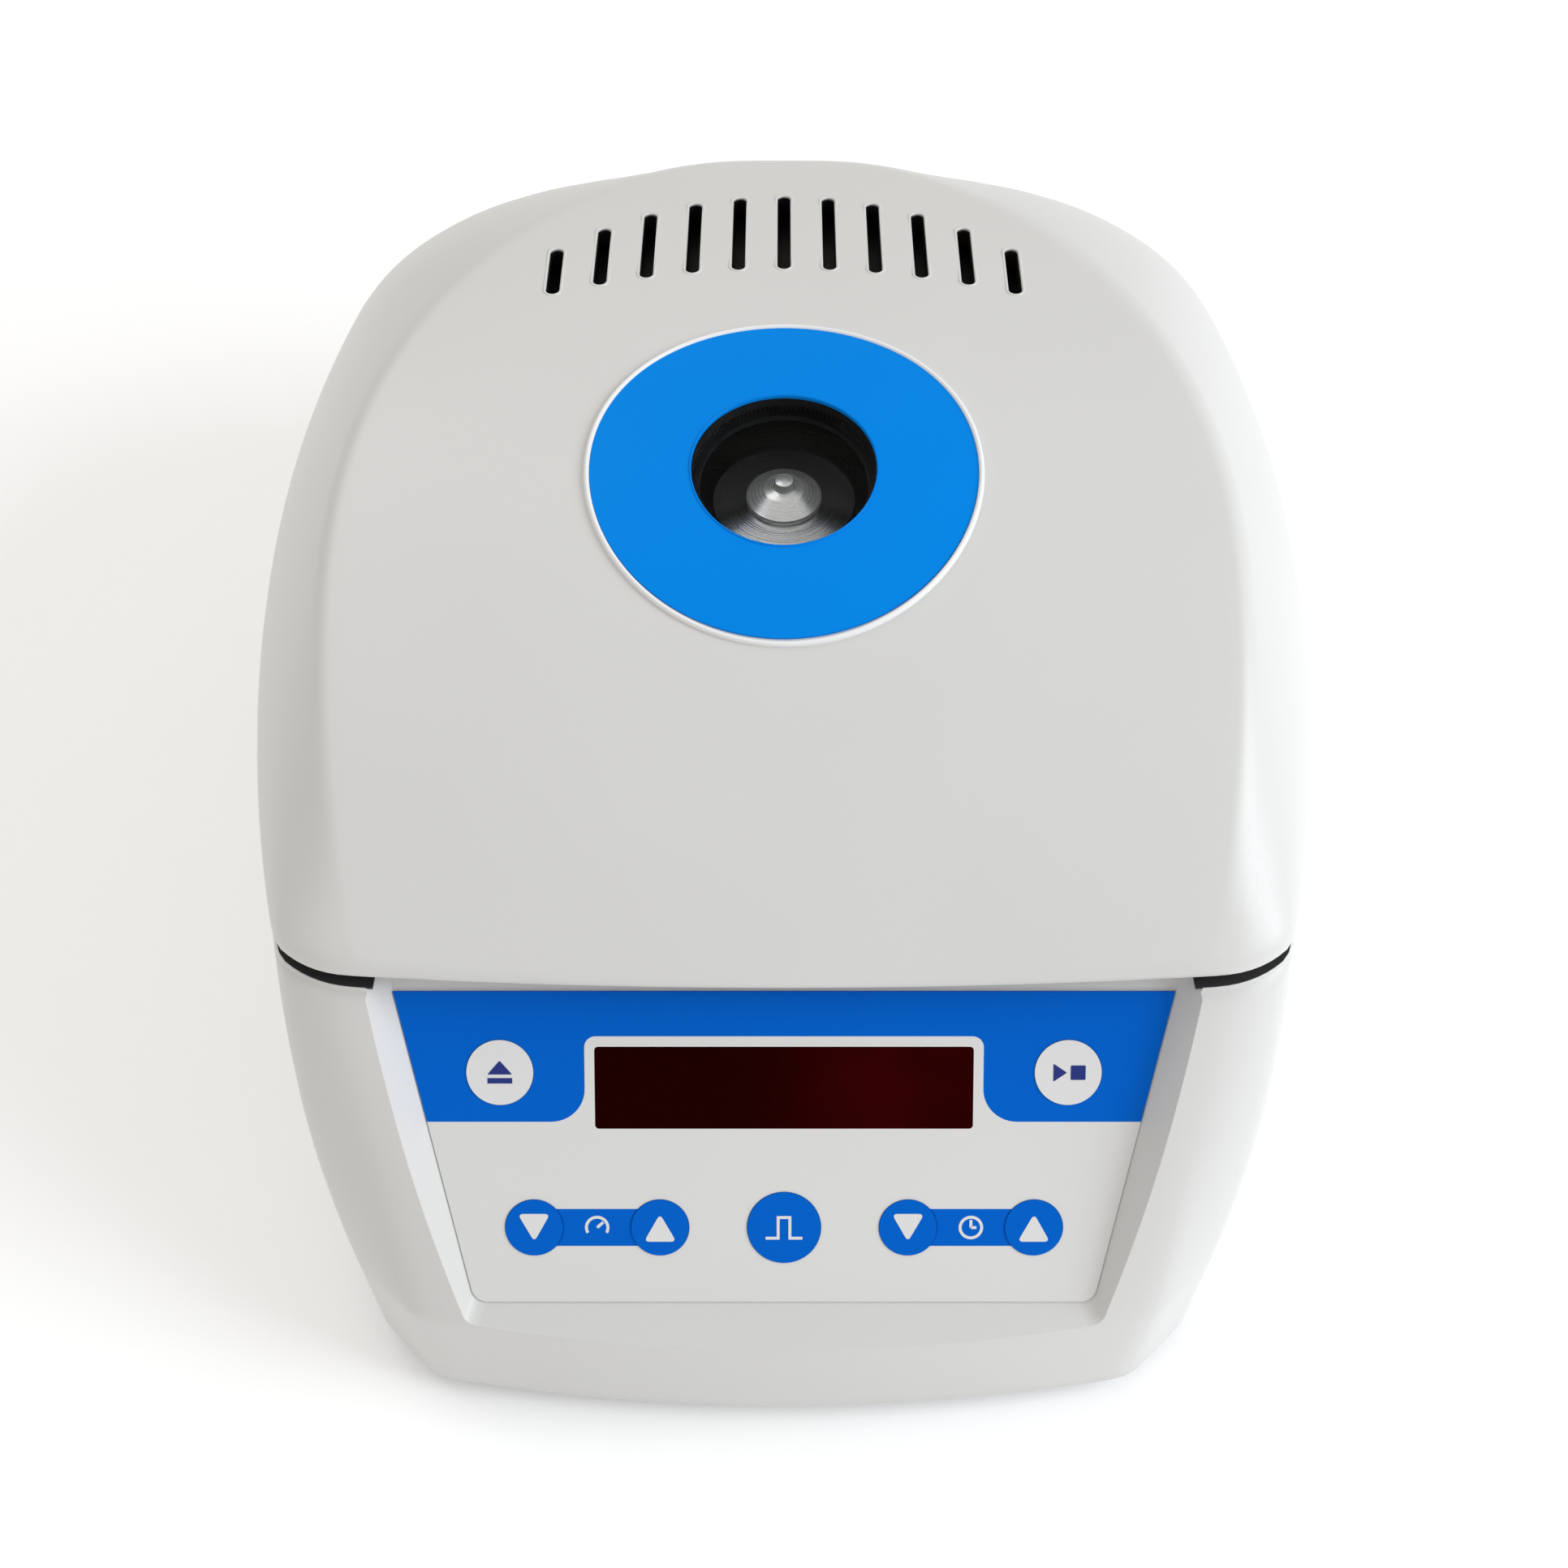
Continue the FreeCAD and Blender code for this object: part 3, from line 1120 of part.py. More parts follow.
overlay = slab(Part.Face(trapezoid(-film, 0.0, 0.0, 0.0, corner)), film)
lens = rounded_block(size("lens_half"), size("lens_top"), size("lens_bottom"), -film, film,
                     size("lens_corner"))
band = overlay.common(block(Vector(-REACH, -size("band_length"), -film), Vector(REACH, REACH, film)))
surround = rounded_block(size("frame_half"), size("frame_top"), size("lens_bottom") + size("frame_top"),
                         -film, film, size("frame_corner"))
band = band.cut(surround)
inner_corners = [edge for edge in band.Edges
                 if abs(edge.Vertexes[0].Z - edge.Vertexes[1].Z) > film / 2
                 and abs(edge.Vertexes[0].Y + size("band_length")) < film
                 and abs(abs(edge.Vertexes[0].X) - size("frame_half")) < film]
band = band.makeFillet(size("band_corner"), inner_corners)
for hole in key_holes(size("key_clearance")):
    band = band.cut(hole)
    overlay = overlay.cut(hole)
overlay = overlay.cut(band).cut(lens)


def legend_bar(side):
    """A bar between two keys of a pair, hollowed to clear them."""
    inner = size("key_inner_x")
    outer = size("key_outer_x")
    drop = size("key_lower_drop")
    half = size("bar_width") / 2
    low = Vector(min(side * inner, side * outer), -drop - half, -film)
    high = Vector(max(side * inner, side * outer), -drop + half, 0)
    return block(low, high)


bars = [legend_bar(side) for side in (-1, 1)]
for hole in key_holes(size("key_clearance")):
    bars = [bar.cut(hole) for bar in bars]
for bar in bars:
    overlay = overlay.cut(bar)
panel_node("panel_overlay", feature("panel_overlay", overlay))
panel_node("blue_band", feature("blue_band", band))
panel_node("legend_bars", feature("legend_bars", Part.makeCompound(bars)))
panel_node("display_lens", feature("display_lens", lens))

inside = size("ledge") + size("carrier_fit")
carrier = Part.Face(trapezoid(-film - size("carrier"), -inside, -inside, -inside, corner))
carrier = slab(carrier, size("carrier"))
for hole in key_holes(size("key_room")):
    carrier = carrier.cut(hole)
module_room = size("module_half") + size("carrier_fit")
carrier = carrier.cut(block(Vector(-module_room, -size("lens_bottom"), -REACH),
                            Vector(module_room, -size("lens_top"), REACH)))
SPACERS = [(f"{side} * {x}", f"-{drop}") for side in (-1, 1) for x, drop in (
    ("(module_half + key_upper_x - key_upper_radius) / 2", "key_upper_drop"),
    ("(key_inner_x + key_outer_x) / 2", "key_lower_drop"))]
for x, y in SPACERS:
    spacer_height = size("board_drop") - film - size("carrier")
    spacer_foot = Vector(evaluated(x), evaluated(y), -size("board_drop"))
    carrier = carrier.fuse(Part.makeCylinder(size("spacer_radius"), spacer_height, spacer_foot))
panel_node("panel_carrier", feature("panel_carrier", carrier))
board_bottom_z = -size("board_drop") - size("board")
panel_node("control_board", padded("control_board", "XY_Plane", (
    ("-board_half", "-board_bottom"),
    ("board_half", "-board_bottom"),
    ("board_half", "-board_top"),
    ("-board_half", "-board_top"),
), "board"), z=board_bottom_z)
panel_node("display_module", padded("display_module", "XY_Plane", (
    ("-module_half", "carrier_fit - lens_bottom"),
    ("module_half", "carrier_fit - lens_bottom"),
    ("module_half", "-lens_top - carrier_fit"),
    ("-module_half", "-lens_top - carrier_fit"),
), "board_drop - film"), z=-size("board_drop"))
switches = [box(f"switch_{name}", "switch_size", "switch_size", "switch_height", x, f"-{drop}",
                "-board_drop") for name, x, drop, radius in KEYS]
panel_node("key_switches", group("key_switches", *switches))
STEM_END = "(switch_height + key_travel + key_rest_gap - board_drop)"
for name, x, drop, radius in KEYS:
    key = turned(name, (
        ("0", STEM_END),
        ("key_stem", STEM_END),
        ("key_stem", "key_proud - key_cap"),
        (radius, "key_proud - key_cap"),
        (radius, "key_proud"),
        ("0", "key_proud"),
    ), placed=False)
    panel_node(name, key, evaluated(x), -size(drop))

# Latch: a striker on the lid, and under the deck a hook that a solenoid draws back
STRIKER_SEAT = f"({LID_BOTTOM} + striker_plate_lift)"
LEG_BOTTOM = "(bar_height - bar_radius - leg / 2)"
striker_pieces = [box("striker_plate", "2 * striker_plate_half", "striker_plate_depth", "leg", y=LATCH_Y,
                      z=STRIKER_SEAT)]
for side in (-1, 1):
    striker_pieces.append(box(f"striker_leg_{side + 2}", "leg", "leg_width",
                              f"{STRIKER_SEAT} - {LEG_BOTTOM}", f"{side} * striker_half", LATCH_Y,
                              LEG_BOTTOM))
striker_pieces.append(rod("striker_bar", "bar_radius", "2 * striker_half", "-striker_half", LATCH_Y,
                          "bar_height", ALONG_X))
node("lid_striker", fuse("lid_striker", *striker_pieces))

HOOK_Y = f"({LATCH_Y} + bar_radius + hook_gap + hook / 2)"
HOOK_TOP = "(bar_height + bar_radius + hook_gap)"
TAIL_Z = "(pivot_height - hook_tail)"
FRAME_Y = f"({HOOK_Y} - frame_lead)"
DECK_UNDER = "(base_top - wall)"
TAIL_END = f"({TAIL_Z} - 2 * tail_slot)"
release = math.degrees(math.asin((size("hook_bite") + 2 * size("bar_radius") + size("hook_gap"))
                                 / (evaluated(HOOK_TOP) - size("pivot_height"))))
hook_pieces = [
    box("hook_arm", "2 * hook_half", "hook", f"{HOOK_TOP} + hook - {TAIL_END}", y=HOOK_Y, z=TAIL_END),
    box("hook_tip", "2 * hook_half", "hook_bite + bar_radius + hook_gap + hook", "hook_nose",
        y=f"{HOOK_Y} + hook / 2 - (hook_bite + bar_radius + hook_gap + hook) / 2", z=HOOK_TOP),
    rod("hook_eye", "pivot_eye", "2 * hook_half", "-hook_half", HOOK_Y, "pivot_height", ALONG_X),
]
hook_bore = rod("hook_bore", "pivot_radius + running_clearance", "4 * hook_half", "-2 * hook_half", HOOK_Y,
                "pivot_height", ALONG_X)
tail_hole = rod("tail_hole", "tail_slot", "4 * hook", y=f"{HOOK_Y} - 2 * hook", z=TAIL_Z, direction=ALONG_Y)
hook = cut("latch_hook", fuse("hook_whole", *hook_pieces), hook_bore, tail_hole)
pivot = Vector(0, evaluated(HOOK_Y), size("pivot_height"))
hook.Placement = Placement(Vector(), Rotation(ALONG_X, -release), pivot)
node("latch_hook", hook)
node("hook_pin", rod("hook_pin", "pivot_radius", "2 * frame_half_width + 2 * frame_sheet",
                     "-frame_half_width - frame_sheet", HOOK_Y, "pivot_height", ALONG_X))

SOLENOID_BOTTOM = f"({TAIL_Z} - solenoid_width / 2)"
frame_pieces = [box("frame_front", "2 * frame_half_width", "frame_sheet",
                    f"{DECK_UNDER} - solenoid_width / 2 - {SOLENOID_BOTTOM}",
                    y=f"{FRAME_Y} + frame_sheet / 2", z=SOLENOID_BOTTOM)]
FRAME_MIDDLE = f"({FRAME_Y} + frame_depth / 2)"
for side in (-1, 1):
    frame_pieces.append(box(f"frame_ear_{side + 2}", "frame_sheet", "frame_depth",
                            f"{DECK_UNDER} - frame_bottom",
                            f"{side} * (frame_half_width + frame_sheet / 2)", FRAME_MIDDLE, "frame_bottom"))
    frame_pieces.append(box(f"frame_flange_{side + 2}", "frame_flange", "frame_depth", "frame_sheet",
                            f"{side} * (frame_half_width + frame_flange / 2)", FRAME_MIDDLE,
                            f"{DECK_UNDER} - frame_sheet"))
frame_holes = [
    rod("frame_pin_hole", "pivot_radius", "4 * frame_half_width", "-2 * frame_half_width", HOOK_Y,
        "pivot_height", ALONG_X),
    rod("frame_plunger_hole", "plunger_radius + hook_gap", "4 * frame_sheet", y=f"{FRAME_Y} - frame_sheet",
        z=TAIL_Z, direction=ALONG_Y),
]
node("latch_frame", cut("latch_frame", fuse("frame_whole", *frame_pieces), *frame_holes))

PLUNGER_STOP = f"({HOOK_Y} - hook / 2 - plunger_gap)"
HEAD_START = f"({HOOK_Y} + hook / 2 + plunger_gap)"
PLUNGER_LENGTH = f"({PLUNGER_STOP} - {FRAME_Y} + solenoid_length * 2 / 3)"
solenoid_block = box("solenoid_block", "solenoid_width", "solenoid_length", "solenoid_width",
                     y=f"{FRAME_Y} - solenoid_length / 2", z=SOLENOID_BOTTOM)
solenoid_bore = rod("solenoid_bore", "plunger_radius + running_clearance", "solenoid_length",
                    y=f"{FRAME_Y} - solenoid_length + frame_sheet", z=TAIL_Z, direction=ALONG_Y)
node("solenoid", cut("solenoid", solenoid_block, solenoid_bore))
plunger = fuse(
    "solenoid_plunger",
    rod("plunger_rod", "plunger_radius", PLUNGER_LENGTH, y=f"{PLUNGER_STOP} - {PLUNGER_LENGTH}", z=TAIL_Z,
        direction=ALONG_Y),
    rod("plunger_thin", "plunger_neck", f"{HEAD_START} - {PLUNGER_STOP}", y=PLUNGER_STOP, z=TAIL_Z,
        direction=ALONG_Y),
    rod("plunger_cap", "plunger_head", "hook_nose", y=HEAD_START, z=TAIL_Z, direction=ALONG_Y))
drawn = size("hook_tail") * math.sin(math.radians(release))
plunger.Placement = Placement(Vector(0, -drawn, 0), Rotation())
node("solenoid_plunger", plunger)

# Hinges on the back wall: base leaves with their pins, and lid leaves that turn on them
LEAF_Y = f"({BACK} + leaf / 2)"
SIDE_KNUCKLE = "((leaf_width - knuckle) / 2 - knuckle_gap)"
base_leaves = []
lid_leaves = []
hinge_pins = []


def leaf_screws(name, spots):
    """Screws through the hinges' leaves into the wall or post behind them."""
    made = []
    for number, (x, z) in enumerate(spots):
        shank = rod(f"{name}_shank_{number}", "screw_shank", "leaf + wall", x, f"{BACK} - wall", z, ALONG_Y)
        head = rod(f"{name}_head_{number}", "screw_head", "screw_head_height", x, f"{BACK} + leaf", z,
                   ALONG_Y)
        made.append(fuse(f"{name}_{number}", shank, head))
    return group(name, *made)


def leaf_holes(name, x, z):
    return [rod(f"{name}_hole_{end + 2}", "screw_shank", "2 * leaf", f"{x} + {end} * leaf_width / 3",
                f"{BACK} - leaf / 2", z, ALONG_Y) for end in (-1, 1)]


for side, side_name in ((-1, "left"), (1, "right")):
    x = f"{side} * hinge_x"
    plate_piece = box(f"base_leaf_plate_{side_name}", "leaf_width", "leaf", "leaf_height", x, LEAF_Y,
                      "base_top - rim_land - leaf_height")
    web = box(f"base_web_{side_name}", "knuckle", f"{HINGE_Y} - {BACK}", "2 * barrel_radius", x,
              f"({HINGE_Y} + {BACK}) / 2", "hinge_height - 2 * barrel_radius")
    barrel = rod(f"base_barrel_{side_name}", "barrel_radius", "knuckle", f"{x} - knuckle / 2", HINGE_Y,
                 "hinge_height", ALONG_X)
    bore = rod(f"base_bore_{side_name}", "hinge_pin_radius", "leaf_width", f"{x} - leaf_width / 2", HINGE_Y,
               "hinge_height", ALONG_X)
    whole = fuse(f"base_leaf_whole_{side_name}", plate_piece, web, barrel)
    base_leaves.append(cut(f"base_leaf_{side_name}", whole, bore,
                           *leaf_holes(f"base_leaf_{side_name}", x, BASE_SCREW_Z)))
    hinge_pins.append(rod(f"pin_{side_name}", "hinge_pin_radius", "leaf_width", f"{x} - leaf_width / 2",
                          HINGE_Y, "hinge_height", ALONG_X))
    pieces = [box(f"lid_leaf_plate_{side_name}", "leaf_width", "leaf", "lid_leaf_height", x, LEAF_Y,
                  LID_LEAF_Z)]
    for end in (-1, 1):
        middle = f"{x} + {end} * (leaf_width / 2 - {SIDE_KNUCKLE} / 2)"
        pieces.append(box(f"lid_web_{side_name}_{end + 2}", SIDE_KNUCKLE, f"{HINGE_Y} - {BACK}",
                          f"{LID_LEAF_Z} + leaf - hinge_height", middle, f"({HINGE_Y} + {BACK}) / 2",
                          "hinge_height"))
        pieces.append(rod(f"lid_barrel_{side_name}_{end + 2}", "barrel_radius", SIDE_KNUCKLE,
                          f"{middle} - {SIDE_KNUCKLE} / 2", HINGE_Y, "hinge_height", ALONG_X))
    lid_bore = rod(f"lid_bore_{side_name}", "hinge_pin_radius + hinge_clearance", "2 * leaf_width",
                   f"{x} - leaf_width", HINGE_Y, "hinge_height", ALONG_X)
    lid_leaves.append(cut(f"lid_leaf_{side_name}", fuse(f"lid_leaf_whole_{side_name}", *pieces), lid_bore,
                          *leaf_holes(f"lid_leaf_{side_name}", x, LID_SCREW_Z)))
node("hinge_base_leaves", group("hinge_base_leaves", *base_leaves))
node("hinge_lid_leaves", group("hinge_lid_leaves", *lid_leaves))
node("hinge_pins", group("hinge_pins", *hinge_pins))
node("hinge_base_screws", leaf_screws("hinge_base_screws", BASE_LEAF_SPOTS))
node("hinge_lid_screws", leaf_screws("hinge_lid_screws", LID_LEAF_SPOTS))

# Mains inlet and power switch in the back wall
INLET_X = "(-inlet_x)"
inlet_body = box("inlet_body", "inlet_width", "inlet_depth", "inlet_tall", INLET_X,
                 f"{BACK} - inlet_depth / 2", "inlet_height - inlet_tall / 2")
inlet_flange = box("inlet_plate", "inlet_flange_width", "inlet_flange", "inlet_flange_tall", INLET_X,
                   f"{BACK} + inlet_flange / 2", "inlet_height - inlet_flange_tall / 2")
socket = box("inlet_socket", "socket_width", "2 * socket_depth", "socket_tall", INLET_X,
             f"{BACK} + inlet_flange", "inlet_height - socket_tall / 2")
node("mains_inlet", cut("mains_inlet", fuse("inlet_whole", inlet_body, inlet_flange), socket))
SOCKET_FLOOR = f"({BACK} + inlet_flange - socket_depth)"
pins = [box(f"inlet_pin_{step + 2}", "pin_thickness", "pin_length", "pin_width",
            f"{INLET_X} + {step} * pin_pitch", f"{SOCKET_FLOOR} + pin_length / 2",
            f"inlet_height - pin_width / 2 + {1 if step == 0 else -1} * pin_raise") for step in (-1, 0, 1)]
node("inlet_pins", group("inlet_pins", *pins))

ROCKER_X = "(rocker_x)"
ROCKER_Y = f"({BACK} + bezel_flange - rocker_sink)"
bezel_body = box("bezel_body", BEZEL_ACROSS, "bezel_depth", BEZEL_UP, ROCKER_X, f"{BACK} - bezel_depth / 2",
                 f"inlet_height - {BEZEL_UP} / 2")
bezel_plate = box("bezel_plate", f"{BEZEL_ACROSS} + 2 * bezel_lip", "bezel_flange",
                  f"{BEZEL_UP} + 2 * bezel_lip", ROCKER_X, f"{BACK} + bezel_flange / 2",
                  f"inlet_height - {BEZEL_UP} / 2 - bezel_lip")
bezel_pocket = box("bezel_pocket", "rocker_width + 2 * rocker_gap", "2 * (bezel_depth - bezel_floor)",
                   "rocker_tall + 2 * rocker_gap", ROCKER_X, f"{BACK} + bezel_flange",
                   "inlet_height - rocker_tall / 2 - rocker_gap")
bezel_bore = rod("bezel_bore", "rocker_pin + rocker_fit",
                 "rocker_width + 2 * rocker_pin_length + rocker_gap",
                 f"{ROCKER_X} - rocker_width / 2 - rocker_pin_length - rocker_gap / 2", ROCKER_Y,
                 "inlet_height", ALONG_X)
bezel_whole = fuse("bezel_whole", bezel_body, bezel_plate)
node("switch_bezel", cut("switch_bezel", bezel_whole, bezel_pocket, bezel_bore))
rocker_end = "(rocker_front + rocker_tall / 2 * tan(rocker_throw))"
rocker_blade = padded("rocker_blade", "YZ_Plane", (
    ("-rocker_back", "-rocker_tall / 2 + rocker_back"),
    ("-rocker_back", "rocker_tall / 2 - rocker_back"),
    (rocker_end, "rocker_tall / 2"),
    ("rocker_front", "0"),
    (rocker_end, "-rocker_tall / 2"),
), "rocker_width")
place(rocker_blade, x="-rocker_width / 2")
trunnion = rod("rocker_trunnion", "rocker_pin", "rocker_width + 2 * rocker_pin_length",
               "-rocker_width / 2 - rocker_pin_length", direction=ALONG_X)
rocker = fuse("power_rocker", rocker_blade, trunnion)
rocker.Placement = Placement(Vector(evaluated(ROCKER_X), evaluated(ROCKER_Y), inlet_z),
                             Rotation(ALONG_X, size("rocker_throw")))
node("power_rocker", rocker)

# Power supply on the floor behind the motor
SUPPLY_Y = f"({FRONT} + supply_setback)"
SUPPLY_Z = f"({FLOOR} + supply_lift)"
SUPPLY_TOP = f"({SUPPLY_Z} + board)"
node("supply_board", box("supply_board", "supply_width", "supply_depth", "board", y=SUPPLY_Y, z=SUPPLY_Z))
spacers = [rod(f"supply_spacer_{side + 2}_{end + 2}", "supply_spacer", "supply_lift",
               f"{side} * (supply_width / 2 - supply_spacer_inset)",
               f"{SUPPLY_Y} + {end} * (supply_depth / 2 - supply_spacer_inset)", FLOOR)
           for side in (-1, 1) for end in (-1, 1)]
node("supply_spacers", group("supply_spacers", *spacers))
CHOKE_X = "(supply_width / 2 - choke_size)"
components = [
    box("choke", "choke_size", "choke_size", "choke_height", CHOKE_X,
        f"{SUPPLY_Y} - supply_depth / 2 + choke_size / 2 + board", SUPPLY_TOP),
    box("heat_sink", "sink_width", "sink_depth", "sink_height", CHOKE_X,
        f"{SUPPLY_Y} + supply_depth / 2 - sink_depth / 2 - board", SUPPLY_TOP),
]
for number in range(2):
    components.append(rod(f"capacitor_{number}", "capacitor_radius", "capacitor_height",
                          f"-{number} * (2 * capacitor_radius + board)", f"{SUPPLY_Y} - capacitor_radius",
                          SUPPLY_TOP))
node("supply_components", group("supply_components", *components))

doc.recompute()
for made in doc.Objects:
    if "Invalid" in made.State or "Error" in made.State:
        raise RuntimeError(f"{made.Label} failed: {made.State}")
for name, made in nodes.items():
    shape = made.Shape
    if shape.isNull() or not shape.isValid() or not shape.Solids:
        raise RuntimeError(f"{name} has no valid solid")

os.makedirs("parts", exist_ok=True)
for name, made in nodes.items():
    made.Shape.exportStep(f"parts/{name}.step")
print(f"{len(nodes)} sub-parts written")
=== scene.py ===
import math

import bmesh
import bpy
from bpy.props import FloatProperty, FloatVectorProperty, IntProperty, PointerProperty
from mathutils import Matrix, Vector


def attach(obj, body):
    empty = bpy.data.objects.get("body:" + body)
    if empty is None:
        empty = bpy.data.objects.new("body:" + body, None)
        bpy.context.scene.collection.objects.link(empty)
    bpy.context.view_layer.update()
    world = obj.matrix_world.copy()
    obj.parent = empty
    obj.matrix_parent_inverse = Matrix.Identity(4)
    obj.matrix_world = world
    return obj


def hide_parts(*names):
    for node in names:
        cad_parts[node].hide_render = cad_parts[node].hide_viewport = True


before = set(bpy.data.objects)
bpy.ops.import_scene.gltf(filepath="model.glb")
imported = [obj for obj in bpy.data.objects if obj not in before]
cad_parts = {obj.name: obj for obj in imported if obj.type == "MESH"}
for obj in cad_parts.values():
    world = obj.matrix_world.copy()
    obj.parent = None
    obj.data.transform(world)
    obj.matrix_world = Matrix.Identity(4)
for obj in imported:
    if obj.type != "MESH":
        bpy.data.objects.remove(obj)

bl_info = {
    "name": "Bench microcentrifuge",
    "version": (1, 0, 0),
    "blender": (4, 5, 0),
    "location": "View3D > Sidebar > Centrifuge",
    "description": "Dresses a bench microcentrifuge: shells, port, keys, spindle, fasteners and studio",
    "category": "Object",
}


# Sizes and colours
def length(name, description, default):
    return FloatProperty(name=name, description=description, default=default, unit="LENGTH", precision=5)


def angle(name, description, degrees):
    return FloatProperty(name=name, description=description, default=math.radians(degrees), unit="ROTATION")


def share(name, description, default):
    return FloatProperty(name=name, description=description, default=default, min=0.0, soft_max=1.0)


def amount(name, description, default):
    return FloatProperty(name=name, description=description, default=default, min=0.0)


def position(name, description, default):
    return FloatVectorProperty(name=name, description=description, default=default, size=3,
                               subtype="TRANSLATION", unit="LENGTH")


def plan_sizes(name, default):
    return FloatVectorProperty(
        name=name, size=7, default=default, unit="LENGTH", precision=5,
        description="Setback, half of the front, bow, facet across, facet along, facet bulge, half width")


def colour(name, description, default):
    return FloatVectorProperty(name=name, description=description, default=default, size=3,
                               subtype="COLOR", min=0.0, max=1.0)


class ShellSizes(bpy.types.PropertyGroup):
    """Plan outlines and levels that lid and base share"""
    front: length("Front", "Front of the bumper, along Y", -0.1497)
    back: length("Back", "Back wall, along Y", 0.1397)
    widest: length("Widest", "Place of the widest section, along Y", 0.0108)
    corner: length("Back corner", "Radius of the back corners in plan", 0.0595)
    wall: length("Wall", "Thickness of the mouldings", 0.003)
    foot: length("Underside", "Height of the base's underside", 0.005)
    lip: length("Bumper edge", "Height of the bumper's upper edge", 0.0312)
    waist: length("Waist", "Height of the plan halfway up", 0.06)
    deck: length("Deck", "Height of the base's deck", 0.0848)
    rim: length("Rim", "Height of the lid's lower edge", 0.0882)
    land: length("Land", "Upright edge of the lid's rim", 0.001)
    edge: length("Edge rounding", "Rounding of the mouldings' edges", 0.0009)
    bottom_plan: plan_sizes("Underside plan", (0.0, 0.0732, 0.0064, 0.0141, 0.0142, 0.0003, 0.102))
    lip_plan: plan_sizes("Bumper plan", (0.0022, 0.076, 0.0064, 0.0136, 0.013, 0.0004, 0.107))
    waist_plan: plan_sizes("Waist plan", (0.0255, 0.0815, 0.0049, 0.017, 0.0108, 0.0012, 0.1123))
    deck_plan: plan_sizes("Deck plan", (0.0506, 0.0862, 0.003, 0.0159, 0.0079, 0.0017, 0.1146))
    bowl: length("Bowl opening", "Radius of the deck's opening for the bowl", 0.0805)
    latch_half: length("Latch slot", "Half width of the deck's slot for the hook", 0.012)
    latch_front: length("Latch slot front", "Front of that slot, along Y", -0.086)
    latch_back: length("Latch slot back", "Back of that slot, along Y", -0.0774)
    # Painted shade: the next three sizes set a dark strip on the deck that darkens the gap under the lid's
    # rim
    seal: length("Deck seal", "Width of the dark seal on the deck", 0.006)
    gap_shade_rise: length("Seal rise", "Seal above the deck", 0.0002)
    gap_shade_start: length("Seal start", "Ends of the seal beside the panel, across", 0.081)
    rim_plan: plan_sizes("Rim plan", (0.0513, 0.0858, 0.0028, 0.0161, 0.00795, 0.0019, 0.1153))


class LidSizes(bpy.types.PropertyGroup):
    """Crown, port and air slots of the lid"""
    dome: length("Dome", "Arc of the crown, front to back", 0.256)
    height: length("Height", "Crest of the crown", 0.1315)
    crest: length("Crest", "Place of the crest, along Y", 0.0421)
    crown_half: length("Crown", "Half width of the crown", 0.095)
    crown_wide: length("Crown widest", "Widest place of the crown, along Y", -0.0191)
    crown_rear: length("Crown sides", "Radius of the crown's sides behind the widest place", 0.175)
    crown_corner: length("Crown corners", "Radius of the crown's back corners", 0.036)
    crown_inset: length("Crown back", "Crown's back edge in front of the back wall", 0.0145)
    softness: length("Crease", "Rounding of the crown's edge", 0.0025)
    lean: share("Side lean", "Share of the sides' lean that starts at the rim", 0.2)
    port_y: length("Port", "Middle of the port, along Y", 0.0056)
    port_tilt: angle("Port tilt", "Slope of the crown at the port", 8.6)
    port_hole: length("Port hole", "Radius of the hole for the port's tube", 0.0216)
    port_clear: length("Port opening", "Radius of the clear opening", 0.0196)
    label: length("Label", "Outside radius of the label", 0.041)
    ring: length("Ring", "Outside radius of the ring", 0.0423)
    ring_rise: length("Ring rise", "Ring above the crown", 0.001)
    slots: IntProperty(name="Slots", description="Air slots in the row", default=11, min=3)
    slot_pitch: length("Slot pitch", "Slot to slot", 0.0104)
    slot_width: length("Slot width", "Across a slot", 0.0032)
    slot_length: length("Slot length", "Middle slot, end to end", 0.0337)
    slot_taper: share("Slot taper", "Share of its length that the outermost slot loses", 0.466)
    slot_front: length("Slot front", "Front end of the middle slot, along Y", 0.0684)
    slot_bow: length("Slot bow", "How far the ends of the row come forward", 0.0096)
    slot_bead: length("Slot edge", "Radius of the rounded edge round a slot", 0.0004)
    # Painted shade: the next three sizes place black sheets down the walls of the air slots
    slot_shade_width: length("Slot liner", "Thickness of the dark lining of a slot", 0.0004)
    slot_drop: length("Slot liner top", "Lining below the crown's surface", 0.0006)
    slot_deep: length("Slot liner foot", "Lower edge of the lining below the crown's surface", 0.0045)
    port_lip: length("Port lip", "Radius of the label's edge round the opening", 0.00025)
    label_rise: length("Label rise", "Label above the crown", 0.0005)
    baffle_drop: length("Baffle", "Black baffle below the crown's surface", 0.0075)
    baffle_half: length("Baffle width", "Half width of the baffle", 0.062)
    baffle_front: length("Baffle front", "Front edge of the baffle, along Y", 0.052)
    baffle_back: length("Baffle back", "Back edge of the baffle, along Y", 0.108)
    baffle_sheet: length("Baffle sheet", "Thickness of the baffle", 0.0012)
    post: length("Liner post", "Radius of the posts that carry the liner", 0.004)
    post_x: length("Post across", "Posts from the spindle, across", 0.066)
    post_y: length("Post along", "Posts from the spindle, along", 0.04)
    post_foot: length("Post foot", "Height of the posts' lower ends", 0.0905)
    striker_y: length("Striker", "Middle of the striker's block, along Y", -0.0817)
    striker_half: length("Striker half", "Half width of the striker's block", 0.014)
    striker_deep: length("Striker depth", "Half depth of the striker's block", 0.0038)
    striker_foot: length("Striker foot", "Height of the block's lower face", 0.092)
    hinge_x: length("Hinges", "Hinges from the middle", 0.02)
    hinge_half: length("Hinge half", "Half width of a hinge's block", 0.012)
    hinge_deep: length("Hinge depth", "Depth of a hinge's block", 0.009)
    hinge_top: length("Hinge top", "Height of a hinge's block", 0.0982)


